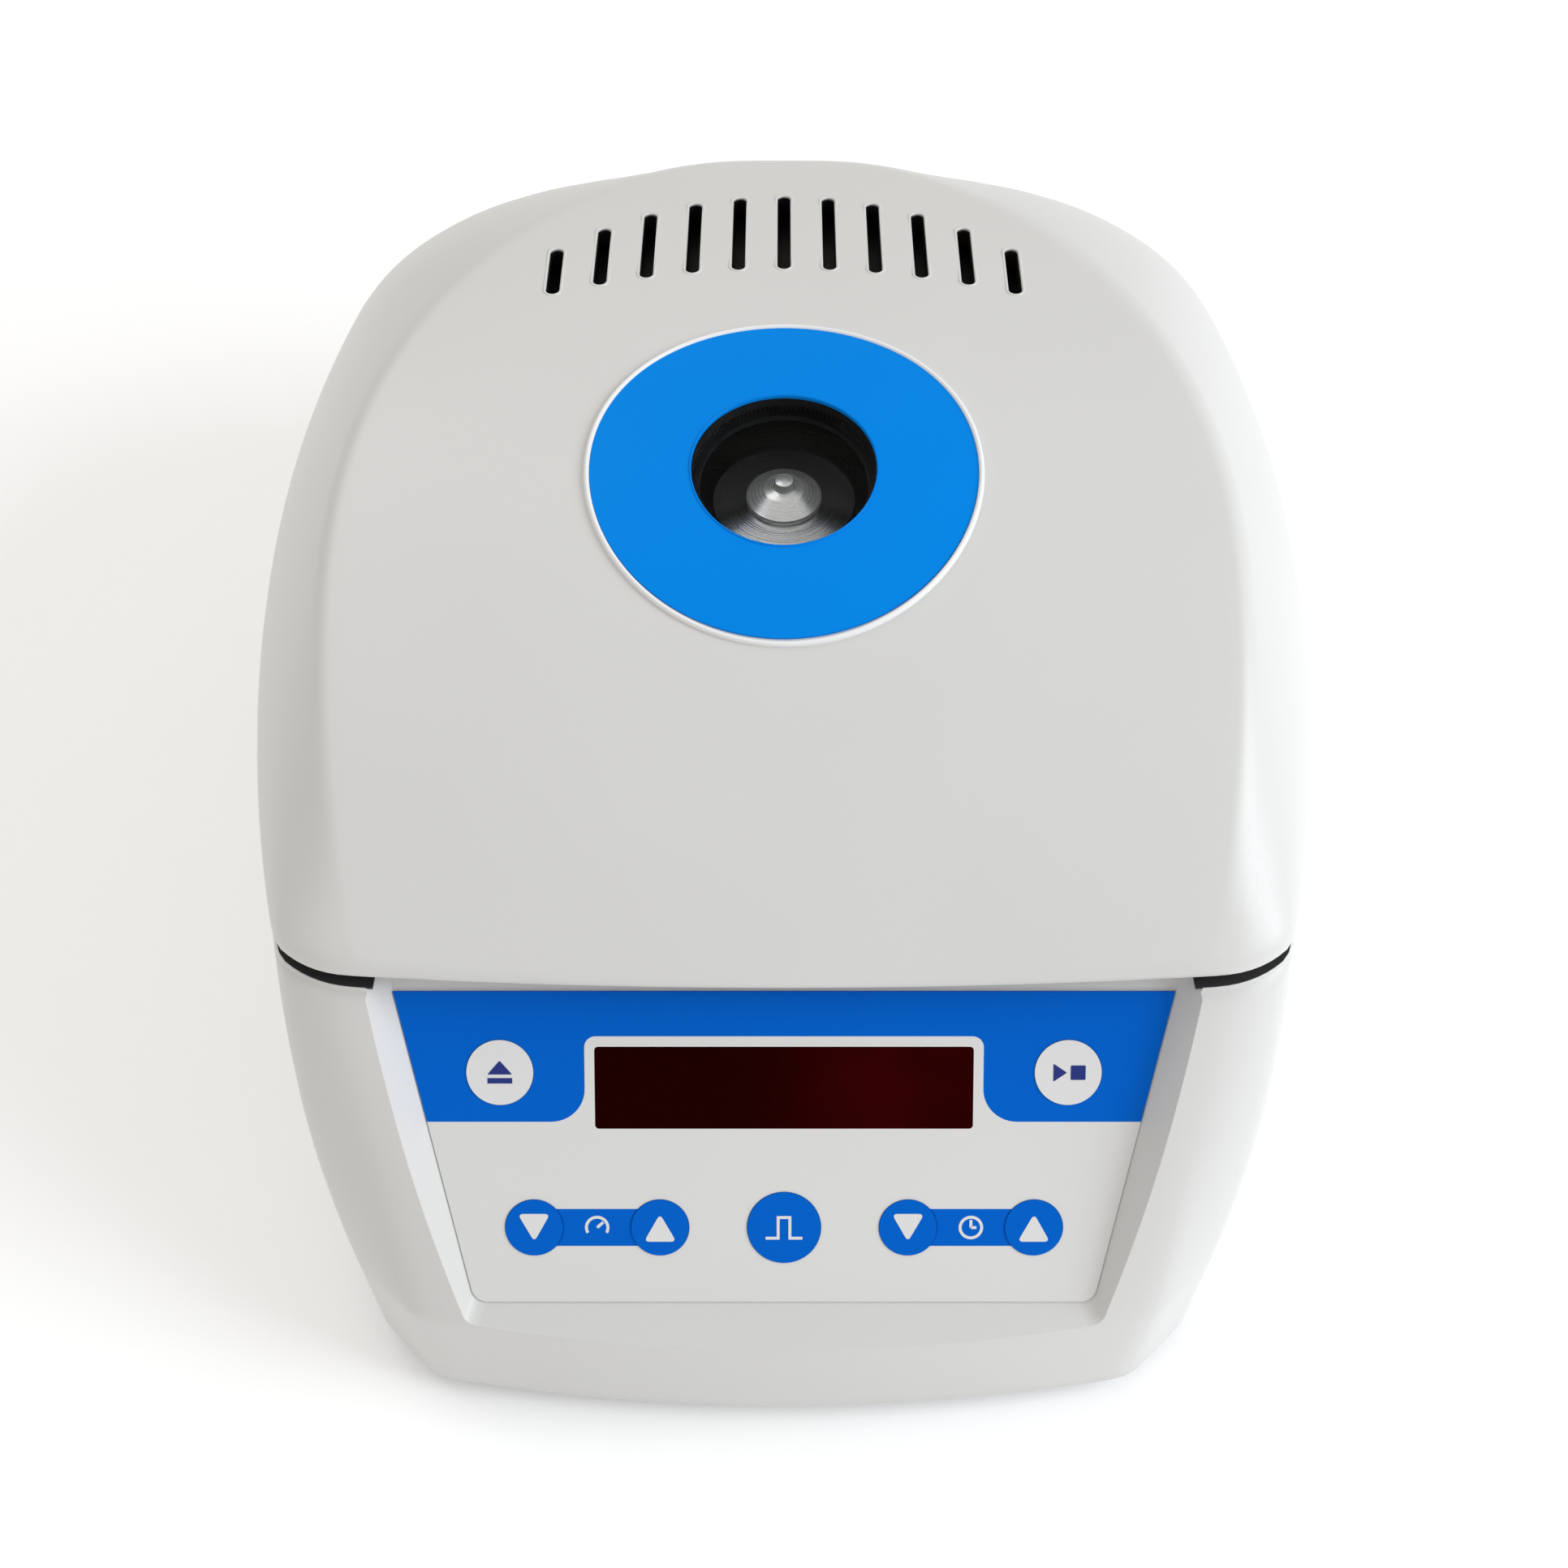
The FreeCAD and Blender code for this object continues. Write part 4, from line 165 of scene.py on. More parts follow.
class PanelSizes(bpy.types.PropertyGroup):
    """Sloping panel with its keys"""
    origin_y: length("Panel place", "Upper edge of the panel, along Y", -0.0939)
    origin_z: length("Panel height", "Upper edge of the panel, along Z", 0.0804)
    slope: angle("Slope", "Slope of the panel", 47.0)
    length: length("Length", "Panel along its slope", 0.0654)
    top_half: length("Top half", "Half width at the upper edge", 0.0786)
    bottom_half: length("Bottom half", "Half width at the lower edge", 0.0635)
    corner: length("Corner", "Rounding of the lower corners", 0.0033)
    flare: length("Flare", "How far the recess's walls lean out", 0.013)
    reach: length("Reach", "Height over which the walls lean", 0.014)
    film: length("Film", "Thickness of the overlay", 0.0005)
    ledge: length("Ledge", "Housing under the overlay's edge", 0.0045)
    upper_x: length("Upper keys", "Upper keys from the middle", 0.0574)
    upper_drop: length("Upper drop", "Upper keys down the slope", 0.0168)
    lower_drop: length("Lower drop", "Lower keys down the slope", 0.0495)
    inner_x: length("Inner keys", "Inner lower keys from the middle", 0.0253)
    outer_x: length("Outer keys", "Outer lower keys from the middle", 0.051)
    key_top: length("Key top", "Top of a key above the overlay", 0.0002)
    mark: length("Mark", "Thickness of a printed mark", 0.00006)
    arrow_half: length("Arrow half", "Half width of an arrow", 0.0033)
    arrow_height: length("Arrow height", "Height of an arrow", 0.0059)
    arrow_corner: length("Arrow corner", "Rounding of an arrow", 0.0012)
    icon: length("Icon", "Half size of a printed icon", 0.0025)
    stroke: length("Stroke", "Line width of a printed icon", 0.0006)


class SpindleSizes(bpy.types.PropertyGroup):
    """Rotor and nut on the spindle"""
    axis: length("Axis", "Spindle, along Y", 0.014)
    seat: length("Seat", "Height of the nut's seat", 0.111)
    flange: length("Flange", "Radius of the nut's flange", 0.00825)
    flange_height: length("Flange height", "Height of the nut's flange", 0.0015)
    neck: length("Neck", "Radius at the top of the nut's cone", 0.0043)
    cone: length("Cone", "Height of the nut's cone", 0.0022)
    pin: length("Pin", "Radius of the nut's pin", 0.00215)
    height: length("Height", "Whole nut", 0.006)
    edge: length("Edge", "Rounding of turned edges", 0.0004)
    hub: length("Hub", "Radius of the post in the rotor", 0.0155)
    rotor: length("Rotor", "Widest radius of the rotor", 0.074)
    rotor_bottom: length("Rotor bottom", "Height of the rotor's underside", 0.053)
    rotor_foot: length("Rotor foot", "Flat underside of the rotor", 0.046)
    rotor_edge: length("Rotor edge", "Height of the rotor's widest edge", 0.0075)
    shoulder: length("Shoulder", "Height of the rotor's shoulder", 0.068)
    rotor_rim: length("Rotor rim", "Outside of the upper rim", 0.05)
    rotor_top: length("Rotor top", "Height of the upper rim", 0.101)
    funnel: length("Funnel", "Inside of the upper rim", 0.047)
    funnel_floor: length("Funnel floor", "Radius of the funnel's floor", 0.019)
    tubes: IntProperty(name="Tubes", description="Tube holes round the rotor", default=12, min=2)
    tube: length("Tube", "Radius of a tube hole", 0.0056)
    tube_depth: length("Tube depth", "Depth of a tube hole", 0.036)
    tube_circle: length("Tube circle", "Mouths of the tube holes from the axis", 0.032)


class FittingSizes(bpy.types.PropertyGroup):
    """Feet, screws and power switch"""
    foot: length("Foot", "Radius of a rubber foot", 0.009)
    foot_height: length("Foot height", "Height of a rubber foot", 0.005)
    foot_x: length("Feet", "Feet from the middle", 0.064)
    front_foot: length("Front feet", "Front feet, along Y", -0.1137)
    back_foot: length("Back feet", "Back feet, along Y", 0.1023)
    screw_head: length("Screw head", "Radius of a screw's head", 0.003)
    screw_height: length("Screw height", "Height of a screw's head", 0.0017)
    screw_shank: length("Screw shank", "Radius of a screw's shank", 0.0015)
    screw_reach: length("Screw reach", "Shank below the head", 0.0045)
    screw_slot: length("Screw slot", "Width of the cross recess", 0.0008)
    leaf: length("Leaf", "Thickness of a hinge's leaf", 0.002)
    leaf_step: length("Leaf step", "Screws from the middle of a leaf", 0.008)
    base_screw_z: length("Base screws", "Height of the base leaves' screws", 0.0728)
    lid_screw_z: length("Lid screws", "Height of the lid leaves' screws", 0.0947)
    liner_seat: length("Liner seat", "Height of the liner's screws", 0.089)
    floor_x: length("Floor screws", "Floor screws from the middle", 0.088)
    floor_front: length("Front floor screws", "Front floor screws, along Y", -0.0817)
    floor_back: length("Back floor screws", "Back floor screws, along Y", 0.0553)
    rocker_x: length("Rocker", "Rocker from the middle", 0.024)
    rocker_y: length("Rocker axis", "Rocker's axis, along Y", 0.1372)
    rocker_z: length("Rocker height", "Middle of rocker and inlet, along Z", 0.036)
    inlet_x: length("Inlet", "Mains inlet from the middle", -0.016)
    inlet_half: length("Inlet half", "Half width of the inlet's hole", 0.0137)
    inlet_rise: length("Inlet rise", "Half height of the inlet's hole", 0.00995)
    switch_half: length("Switch half", "Half width of the switch's hole", 0.0091)
    switch_rise: length("Switch rise", "Half height of the switch's hole", 0.0136)
    rocker_half: length("Rocker half", "Half of the rocker's height", 0.01)
    rocker_front: length("Rocker front", "Rocker's middle in front of its axis", 0.003)
    rocker_throw: angle("Rocker throw", "Tilt of the rocker each way", 8.0)
    switch_mark: length("Switch mark", "Half height of the marks", 0.0022)
    switch_line: length("Switch line", "Line width of the marks", 0.0006)


class StudioSettings(bpy.types.PropertyGroup):
    """Camera and light"""
    camera_y: length("Camera place", "Camera, along Y", -0.3487)
    camera_z: length("Camera height", "Camera, along Z", 0.4742)
    camera_pitch: angle("Camera pitch", "Camera from straight down", 38.0)
    sensor: FloatProperty(name="Sensor", description="Width of the sensor", default=36.0, unit="CAMERA")
    lens: FloatProperty(name="Lens", description="Focal length on that sensor", default=53.4, unit="CAMERA")
    floor: length("Floor", "Half of the floor's side", 4.0)
    sky: amount("Sky", "Strength of the even light", 0.63)
    glow: amount("Floor glow", "Light given off by the floor", 0.15)
    key: amount("Key light", "Power of the light from the right", 17.0)
    key_place: position("Key light place", "Middle of the light from the right", (1.35, -0.32, 0.88))
    key_side: length("Key light side", "Side of the light from the right", 0.9)
    fill: amount("Fill light", "Power of the light from behind", 3.9)
    fill_place: position("Fill light place", "Middle of the light from behind", (-0.7, 0.7, 1.3))
    fill_side: length("Fill light side", "Side of the light from behind", 1.0)
    aim: position("Aim", "Place that both lights point at", (0.0, 0.0, 0.08))


class Colours(bpy.types.PropertyGroup):
    """Base colours"""
    casing: colour("Casing", "Light warm grey moulding", (0.66, 0.654, 0.643))
    film: colour("Panel film", "Printed grey film", (0.72, 0.715, 0.712))
    label: colour("Label", "Blue of the port's label", (0.0005, 0.232, 0.77))
    band: colour("Band", "Blue of the panel", (0.0004, 0.12, 0.59))
    white: colour("White", "Ring and printed marks", (0.84, 0.845, 0.85))
    key: colour("Key", "Light keys", (0.745, 0.738, 0.75))
    navy: colour("Navy", "Marks on the light keys", (0.02, 0.035, 0.2))
    black: colour("Black", "Black mouldings", (0.013, 0.013, 0.014))
    rubber: colour("Rubber", "Feet and seals", (0.022, 0.022, 0.023))
    steel: colour("Steel", "Sheet steel", (0.55, 0.56, 0.57))
    chrome: colour("Chrome", "Bright screws and nut", (0.9, 0.9, 0.9))
    aluminium: colour("Aluminium", "Turned post of the rotor", (0.74, 0.745, 0.75))
    anodised: colour("Anodised", "Dark rotor", (0.018, 0.018, 0.02))
    copper: colour("Copper", "Windings", (0.72, 0.36, 0.16))
    board: colour("Board", "Circuit boards", (0.012, 0.12, 0.05))
    lens_dark: colour("Display edge", "Dark part of the display", (0.013, 0.0002, 0.0002))
    lens_red: colour("Display glow", "Red part of the display", (0.034, 0.0003, 0.0005))
    pane: colour("Pane", "Clear window", (0.96, 0.975, 0.98))
    floor: colour("Floor", "Pale floor", (0.95, 0.955, 0.96))
    sky: colour("Sky", "Warm even light", (1.0, 0.972, 0.93))
    key_light: colour("Key light", "Cool light from the right", (0.87, 0.935, 1.0))
    fill_light: colour("Fill light", "Light from behind on the left", (1.0, 0.985, 0.965))


class CentrifugeSettings(bpy.types.PropertyGroup):
    """All settings of the dressed centrifuge"""
    shell: PointerProperty(type=ShellSizes, name="Shell", description="Plan outlines and levels")
    lid: PointerProperty(type=LidSizes, name="Lid", description="Crown, port and slots")
    panel: PointerProperty(type=PanelSizes, name="Panel", description="Panel and keys")
    spindle: PointerProperty(type=SpindleSizes, name="Spindle", description="Nut on the spindle")
    fittings: PointerProperty(type=FittingSizes, name="Fittings", description="Feet, screws and switch")
    studio: PointerProperty(type=StudioSettings, name="Studio", description="Camera and light")
    colours: PointerProperty(type=Colours, name="Colours", description="Base colours")


def settings():
    """The scene's settings of this object."""
    return bpy.context.scene.centrifuge


# Shared node groups
def grain_group():
    """Two scales of noise: a fine height for a bump and a broad value for tint."""
    name = "moulded_grain"
    if name in bpy.data.node_groups:
        return bpy.data.node_groups[name]
    group = bpy.data.node_groups.new(name, "ShaderNodeTree")
    group.interface.new_socket("Fine scale", in_out="INPUT", socket_type="NodeSocketFloat")
    group.interface.new_socket("Broad scale", in_out="INPUT", socket_type="NodeSocketFloat")
    group.interface.new_socket("Height", in_out="OUTPUT", socket_type="NodeSocketFloat")
    group.interface.new_socket("Tint", in_out="OUTPUT", socket_type="NodeSocketFloat")
    source = group.nodes.new("NodeGroupInput")
    sink = group.nodes.new("NodeGroupOutput")
    place = group.nodes.new("ShaderNodeTexCoord")
    fine = group.nodes.new("ShaderNodeTexNoise")
    fine.inputs["Detail"].default_value = 3.0
    fine.inputs["Roughness"].default_value = 0.6
    broad = group.nodes.new("ShaderNodeTexNoise")
    broad.inputs["Detail"].default_value = 2.0
    for node, socket in ((fine, "Fine scale"), (broad, "Broad scale")):
        group.links.new(place.outputs["Object"], node.inputs["Vector"])
        group.links.new(source.outputs[socket], node.inputs["Scale"])
    group.links.new(fine.outputs["Fac"], sink.inputs["Height"])
    group.links.new(broad.outputs["Fac"], sink.inputs["Tint"])
    return group


def turning_group():
    """Streaks round an upright axis, as a lathe leaves them."""
    name = "turned_streaks"
    if name in bpy.data.node_groups:
        return bpy.data.node_groups[name]
    group = bpy.data.node_groups.new(name, "ShaderNodeTree")
    group.interface.new_socket("Axis", in_out="INPUT", socket_type="NodeSocketVector")
    group.interface.new_socket("Streaks", in_out="OUTPUT", socket_type="NodeSocketFloat")
    source = group.nodes.new("NodeGroupInput")
    sink = group.nodes.new("NodeGroupOutput")
    place = group.nodes.new("ShaderNodeTexCoord")
    offset = group.nodes.new("ShaderNodeVectorMath")
    offset.operation = "SUBTRACT"
    flat = group.nodes.new("ShaderNodeVectorMath")
    flat.operation = "MULTIPLY"
    flat.inputs[1].default_value = (1.0, 1.0, 0.0)
    radius = group.nodes.new("ShaderNodeVectorMath")
    radius.operation = "LENGTH"
    noise = group.nodes.new("ShaderNodeTexNoise")
    noise.noise_dimensions = "1D"
    noise.inputs["Scale"].default_value = 2600.0
    noise.inputs["Detail"].default_value = 4.0
    noise.inputs["Roughness"].default_value = 0.7
    links = group.links
    links.new(place.outputs["Object"], offset.inputs[0])
    links.new(source.outputs["Axis"], offset.inputs[1])
    links.new(offset.outputs["Vector"], flat.inputs[0])
    links.new(flat.outputs["Vector"], radius.inputs[0])
    links.new(radius.outputs["Value"], noise.inputs["W"])
    links.new(noise.outputs["Fac"], sink.inputs["Streaks"])
    return group


# Materials
NOISE_LOW = 0.3
NOISE_HIGH = 0.7
GLOSS_SPREAD = 0.12
GRAIN_STRENGTH = 0.35
STREAK_TINT = 0.22
STREAK_STRENGTH = 0.5
BRUSH_SCALE = 40.0
BRUSH_TINT = 0.12
BRUSH_STRENGTH = 0.25
BRUSH_DEPTH = 0.00002


def made_once(build):
    """Hand out the material of that name if it was made before."""
    def kept(name, *values, **named):
        return bpy.data.materials.get(name) or build(name, *values, **named)
    return kept


def blank_material(name):
    """A new material with its nodes, links and shader."""
    material = bpy.data.materials.new(name)
    material.use_nodes = True
    shader = material.node_tree.nodes["Principled BSDF"]
    return material, material.node_tree.nodes, material.node_tree.links, shader


def ranged(nodes, links, source, low, high):
    """A value stretched to a range."""
    node = nodes.new("ShaderNodeMapRange")
    node.inputs["From Min"].default_value = NOISE_LOW
    node.inputs["From Max"].default_value = NOISE_HIGH
    node.inputs["To Min"].default_value = low
    node.inputs["To Max"].default_value = high
    links.new(source, node.inputs["Value"])
    return node.outputs["Result"]


def tinted(nodes, links, source, base, spread):
    """A colour that varies a little round its base."""
    node = nodes.new("ShaderNodeMix")
    node.data_type = "RGBA"
    node.inputs["A"].default_value = (*[value * (1.0 - spread) for value in base], 1.0)
    node.inputs["B"].default_value = (*[min(1.0, value * (1.0 + spread)) for value in base], 1.0)
    links.new(source, node.inputs["Factor"])
    return node.outputs["Result"]


def bumped(nodes, links, source, strength, distance):
    """A normal raised by a height."""
    node = nodes.new("ShaderNodeBump")
    node.inputs["Strength"].default_value = strength
    node.inputs["Distance"].default_value = distance
    links.new(source, node.inputs["Height"])
    return node.outputs["Normal"]


@made_once
def moulded(name, base, rough, depth, fine=1400.0, broad=18.0, spread=0.025, gloss=0.5):
    """Moulded or printed plastic: fine grain, broad tint, uneven gloss."""
    material, nodes, links, shader = blank_material(name)
    grain = nodes.new("ShaderNodeGroup")
    grain.node_tree = grain_group()
    grain.inputs["Fine scale"].default_value = fine
    grain.inputs["Broad scale"].default_value = broad
    links.new(tinted(nodes, links, grain.outputs["Tint"], base, spread), shader.inputs["Base Color"])
    uneven = ranged(nodes, links, grain.outputs["Height"], rough * (1 - GLOSS_SPREAD),
                    rough * (1 + GLOSS_SPREAD))
    links.new(uneven, shader.inputs["Roughness"])
    links.new(bumped(nodes, links, grain.outputs["Height"], GRAIN_STRENGTH, depth), shader.inputs["Normal"])
    shader.inputs["Specular IOR Level"].default_value = gloss
    return material


@made_once
def turned_metal(name, base, axis, low, high, depth, metal=1.0):
    """Metal with the streaks of a lathe round an upright axis."""
    material, nodes, links, shader = blank_material(name)
    turning = nodes.new("ShaderNodeGroup")
    turning.node_tree = turning_group()
    turning.inputs["Axis"].default_value = axis
    streaks = turning.outputs["Streaks"]
    shader.inputs["Metallic"].default_value = metal
    links.new(tinted(nodes, links, streaks, base, STREAK_TINT), shader.inputs["Base Color"])
    links.new(ranged(nodes, links, streaks, low, high), shader.inputs["Roughness"])
    links.new(bumped(nodes, links, streaks, STREAK_STRENGTH, depth), shader.inputs["Normal"])
    return material


@made_once
def brushed_metal(name, base, stretch, low, high):
    """Sheet metal brushed along one direction."""
    material, nodes, links, shader = blank_material(name)
    place = nodes.new("ShaderNodeTexCoord")
    mapping = nodes.new("ShaderNodeMapping")
    mapping.inputs["Scale"].default_value = stretch
    noise = nodes.new("ShaderNodeTexNoise")
    noise.inputs["Scale"].default_value = BRUSH_SCALE
    noise.inputs["Detail"].default_value = 4.0
    links.new(place.outputs["Object"], mapping.inputs["Vector"])
    links.new(mapping.outputs["Vector"], noise.inputs["Vector"])
    shader.inputs["Metallic"].default_value = 1.0
    grain = noise.outputs["Fac"]
    links.new(tinted(nodes, links, grain, base, BRUSH_TINT), shader.inputs["Base Color"])
    links.new(ranged(nodes, links, grain, low, high), shader.inputs["Roughness"])
    links.new(bumped(nodes, links, grain, BRUSH_STRENGTH, BRUSH_DEPTH), shader.inputs["Normal"])
    return material


@made_once
def display_material(name, dark, red, middle, reach):
    """Dark filter in front of the display, redder towards its right half."""
    material, nodes, links, shader = blank_material(name)
    place = nodes.new("ShaderNodeTexCoord")
    split = nodes.new("ShaderNodeSeparateXYZ")
    noise = nodes.new("ShaderNodeTexNoise")
    noise.inputs["Scale"].default_value = 45.0
    side = nodes.new("ShaderNodeMapRange")
    side.interpolation_type = "SMOOTHSTEP"
    side.inputs["From Min"].default_value = middle - reach
    side.inputs["From Max"].default_value = middle + reach
    blend = nodes.new("ShaderNodeMath")
    blend.operation = "MULTIPLY"
    links.new(place.outputs["Object"], split.inputs["Vector"])
    links.new(place.outputs["Object"], noise.inputs["Vector"])
    links.new(split.outputs["X"], side.inputs["Value"])
    links.new(side.outputs["Result"], blend.inputs[0])
    links.new(ranged(nodes, links, noise.outputs["Fac"], low=0.4, high=1.2), blend.inputs[1])
    mix = nodes.new("ShaderNodeMix")
    mix.data_type = "RGBA"
    mix.inputs["A"].default_value = (*dark, 1.0)
    mix.inputs["B"].default_value = (*red, 1.0)
    links.new(blend.outputs["Value"], mix.inputs["Factor"])
    links.new(mix.outputs["Result"], shader.inputs["Base Color"])
    shader.inputs["Roughness"].default_value = 0.35
    shader.inputs["Specular IOR Level"].default_value = 0.01
    return material


@made_once
def clear_material(name):
    """Clear pane with a faint unevenness."""
    material, nodes, links, shader = blank_material(name)
    grain = nodes.new("ShaderNodeGroup")
    grain.node_tree = grain_group()
    grain.inputs["Fine scale"].default_value = 60.0
    grain.inputs["Broad scale"].default_value = 12.0
    tint = tinted(nodes, links, grain.outputs["Tint"], settings().colours.pane, spread=0.01)
    links.new(tint, shader.inputs["Base Color"])
    shader.inputs["Transmission Weight"].default_value = 1.0
    shader.inputs["Roughness"].default_value = 0.0
    shader.inputs["IOR"].default_value = 1.12
    return material


def casing_material():
    return moulded("casing_plastic", settings().colours.casing, rough=0.38, depth=0.00004)


def white_material():
    return moulded("white_print", settings().colours.white, rough=0.35, depth=0.00001, spread=0.015,
                   gloss=0.3)


def black_material():
    return moulded("moulded_black", settings().colours.black, rough=0.45, depth=0.00003, spread=0.15,
                   gloss=0.15)


def grey_print():
    return moulded("grey_print", settings().colours.key, rough=0.38, depth=0.00001, fine=2500.0,
                   spread=0.015, gloss=0.2)


def turned(name, base, low, high, depth, metal=1.0):
    """Metal turned round the spindle."""
    return turned_metal(name, base, (0.0, settings().spindle.axis, 0.0), low, high, depth, metal)


def chrome_material():
    return turned("polished_steel", settings().colours.chrome, low=0.08, high=0.14, depth=0.000004)


def satin_material():
    return turned("satin_steel", settings().colours.chrome, low=0.2, high=0.32, depth=0.000004, metal=0.65)


def rotor_material():
    return turned("anodised_rotor", settings().colours.anodised, low=0.3, high=0.45, depth=0.00001)


def label_material():
    return moulded("label_blue", settings().colours.label, rough=0.3, depth=0.00001, fine=2500.0,
                   spread=0.03, gloss=0.04)


def rubber_material():
    return moulded("soft_rubber", settings().colours.rubber, rough=0.75, depth=0.00006, fine=900.0,
                   spread=0.2, gloss=0.3)


def navy_material():
    return moulded("navy_print", settings().colours.navy, rough=0.4, depth=0.00001, spread=0.08, gloss=0.15)


# Mesh helpers
def piece(name, mesh, material, body, stands_for=()):
    """A finished piece: linked, coloured and riding on its body."""
    made = bpy.data.objects.new(name, mesh)
    bpy.context.scene.collection.objects.link(made)
    mesh.materials.clear()
    mesh.materials.append(material)
    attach(made, body)
    if stands_for:
        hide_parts(*stands_for)
    return made


def finished_mesh(bm, name, sharp=32.0):
    """The mesh of a bmesh, smooth except at sharp edges."""
    bmesh.ops.recalc_face_normals(bm, faces=bm.faces)
    mesh = bpy.data.meshes.new(name)
    bm.to_mesh(mesh)
    bm.free()
    smooth(mesh, sharp)
    return mesh


def smooth(mesh, sharp):
    """Shade a mesh smooth, except at edges sharper than an angle in degrees."""
    mesh.polygons.foreach_set("use_smooth", [True] * len(mesh.polygons))
    mesh.set_sharp_from_angle(angle=math.radians(sharp))


def skin(bm, rows, closed_rows=False):
    """Quads between rings of points; the rings close on themselves."""
    made = [[bm.verts.new(point) for point in row] for row in rows]
    pairs = list(zip(made, made[1:]))
    if closed_rows:
        pairs.append((made[-1], made[0]))
    for lower, upper in pairs:
        count = len(lower)
        for i in range(count):
            j = (i + 1) % count
            bm.faces.new((lower[i], lower[j], upper[j], upper[i]))
    return made


def capped(rows):
    """A closed solid from rings of points with a flat face at either end."""
    bm = bmesh.new()
    made = skin(bm, rows)
    bm.faces.new(made[0])
    bm.faces.new(made[-1])
    bmesh.ops.recalc_face_normals(bm, faces=bm.faces)
    return bm


def carve(bm, cutters, name):
    """The mesh of a solid with other solids cut out of it."""
    target = bpy.data.objects.new(name, bpy.data.meshes.new(name))
    bm.to_mesh(target.data)
    bm.free()
    bpy.context.scene.collection.objects.link(target)
    tools = []
    for number, cutter in enumerate(cutters):
        tool = bpy.data.objects.new(f"{name}_cutter_{number}",
                                    bpy.data.meshes.new(f"{name}_cutter_{number}"))
        bmesh.ops.recalc_face_normals(cutter, faces=cutter.faces)
        cutter.to_mesh(tool.data)
        cutter.free()
        bpy.context.scene.collection.objects.link(tool)
        modifier = target.modifiers.new(f"cut_{number}", "BOOLEAN")
        modifier.operation = "DIFFERENCE"
        modifier.solver = "EXACT"
        modifier.object = tool
        tools.append(tool)
    evaluated = target.evaluated_get(bpy.context.evaluated_depsgraph_get())
    mesh = bpy.data.meshes.new_from_object(evaluated)
    for spare in [target, *tools]:
        data = spare.data
        bpy.data.objects.remove(spare)
        bpy.data.meshes.remove(data)
    mesh.name = name
    return mesh


def solid_box(low, high):
    """A plain block between two corners."""
    bm = bmesh.new()
    bmesh.ops.create_cube(bm, size=1.0)
    middle = (Vector(low) + Vector(high)) / 2
    extent = Vector(high) - Vector(low)
    lie = Matrix.Translation(middle) @ Matrix.Diagonal((*extent, 1.0))
    bmesh.ops.transform(bm, matrix=lie, verts=bm.verts)
    return bm


def solid_rod(centre, radius, low, high, segments=96):
    """An upright rod."""
    bm = bmesh.new()
    bmesh.ops.create_cone(bm, cap_ends=True, segments=segments, radius1=radius, radius2=radius,
                          depth=high - low)
    bmesh.ops.translate(bm, vec=(centre[0], centre[1], (low + high) / 2), verts=bm.verts)
    return bm


def soft_box(low, high, edge):
    """A block with rounded edges."""
    bm = solid_box(low, high)
    bmesh.ops.bevel(bm, geom=bm.edges[:], offset=edge, segments=3, profile=0.5, affect="EDGES", material=-1)
    return bm


def joined(bm, other):
    """Add one bmesh to another and free it."""
    mesh = bpy.data.meshes.new("joined")
    other.to_mesh(mesh)
    other.free()
    bm.from_mesh(mesh)
    bpy.data.meshes.remove(mesh)


def rounded(corners, radius, steps=5):
    """A closed outline with its corners rounded."""
    points = []
    for i, corner in enumerate(corners):
        before = corners[i - 1]
        after = corners[(i + 1) % len(corners)]
        start = corner + (before - corner).normalized() * radius
        end = corner + (after - corner).normalized() * radius
        for k in range(steps + 1):
            part = k / steps
            points.append(start * (1 - part) ** 2 + corner * 2 * part * (1 - part) + end * part ** 2)
    return points


def lathe(profile, axis_place, segments=96, hollow=False):
    """A turned solid from radius and height pairs; a hollow one has a closed profile clear of the axis."""
    bm = bmesh.new()
    verts = [bm.verts.new((axis_place[0] + radius, axis_place[1], height)) for radius, height in profile]
    edges = [bm.edges.new(pair) for pair in zip(verts, verts[1:])]
    if hollow:
        edges.append(bm.edges.new((verts[-1], verts[0])))
    bmesh.ops.spin(bm, geom=verts + edges, cent=(*axis_place, 0.0), axis=(0.0, 0.0, 1.0), angle=math.tau,
                   steps=segments, use_merge=True)
    if not hollow:
        bmesh.ops.holes_fill(bm, edges=[edge for edge in bm.edges if edge.is_boundary], sides=0)
    bmesh.ops.recalc_face_normals(bm, faces=bm.faces)
    return bm


# Plan outlines
FRONT_STEPS = 20
FACET_STEPS = 8
SIDE_STEPS = 50
CORNER_STEPS = 24
BACK_STEPS = 14


def turn_points(centre, radius, first, last, steps):
    """Points on an arc, without its last one."""
    bearings = [first + (last - first) * i / steps for i in range(steps)]
    return [Vector((centre.x + radius * math.cos(bearing), centre.y + radius * math.sin(bearing)))
            for bearing in bearings]


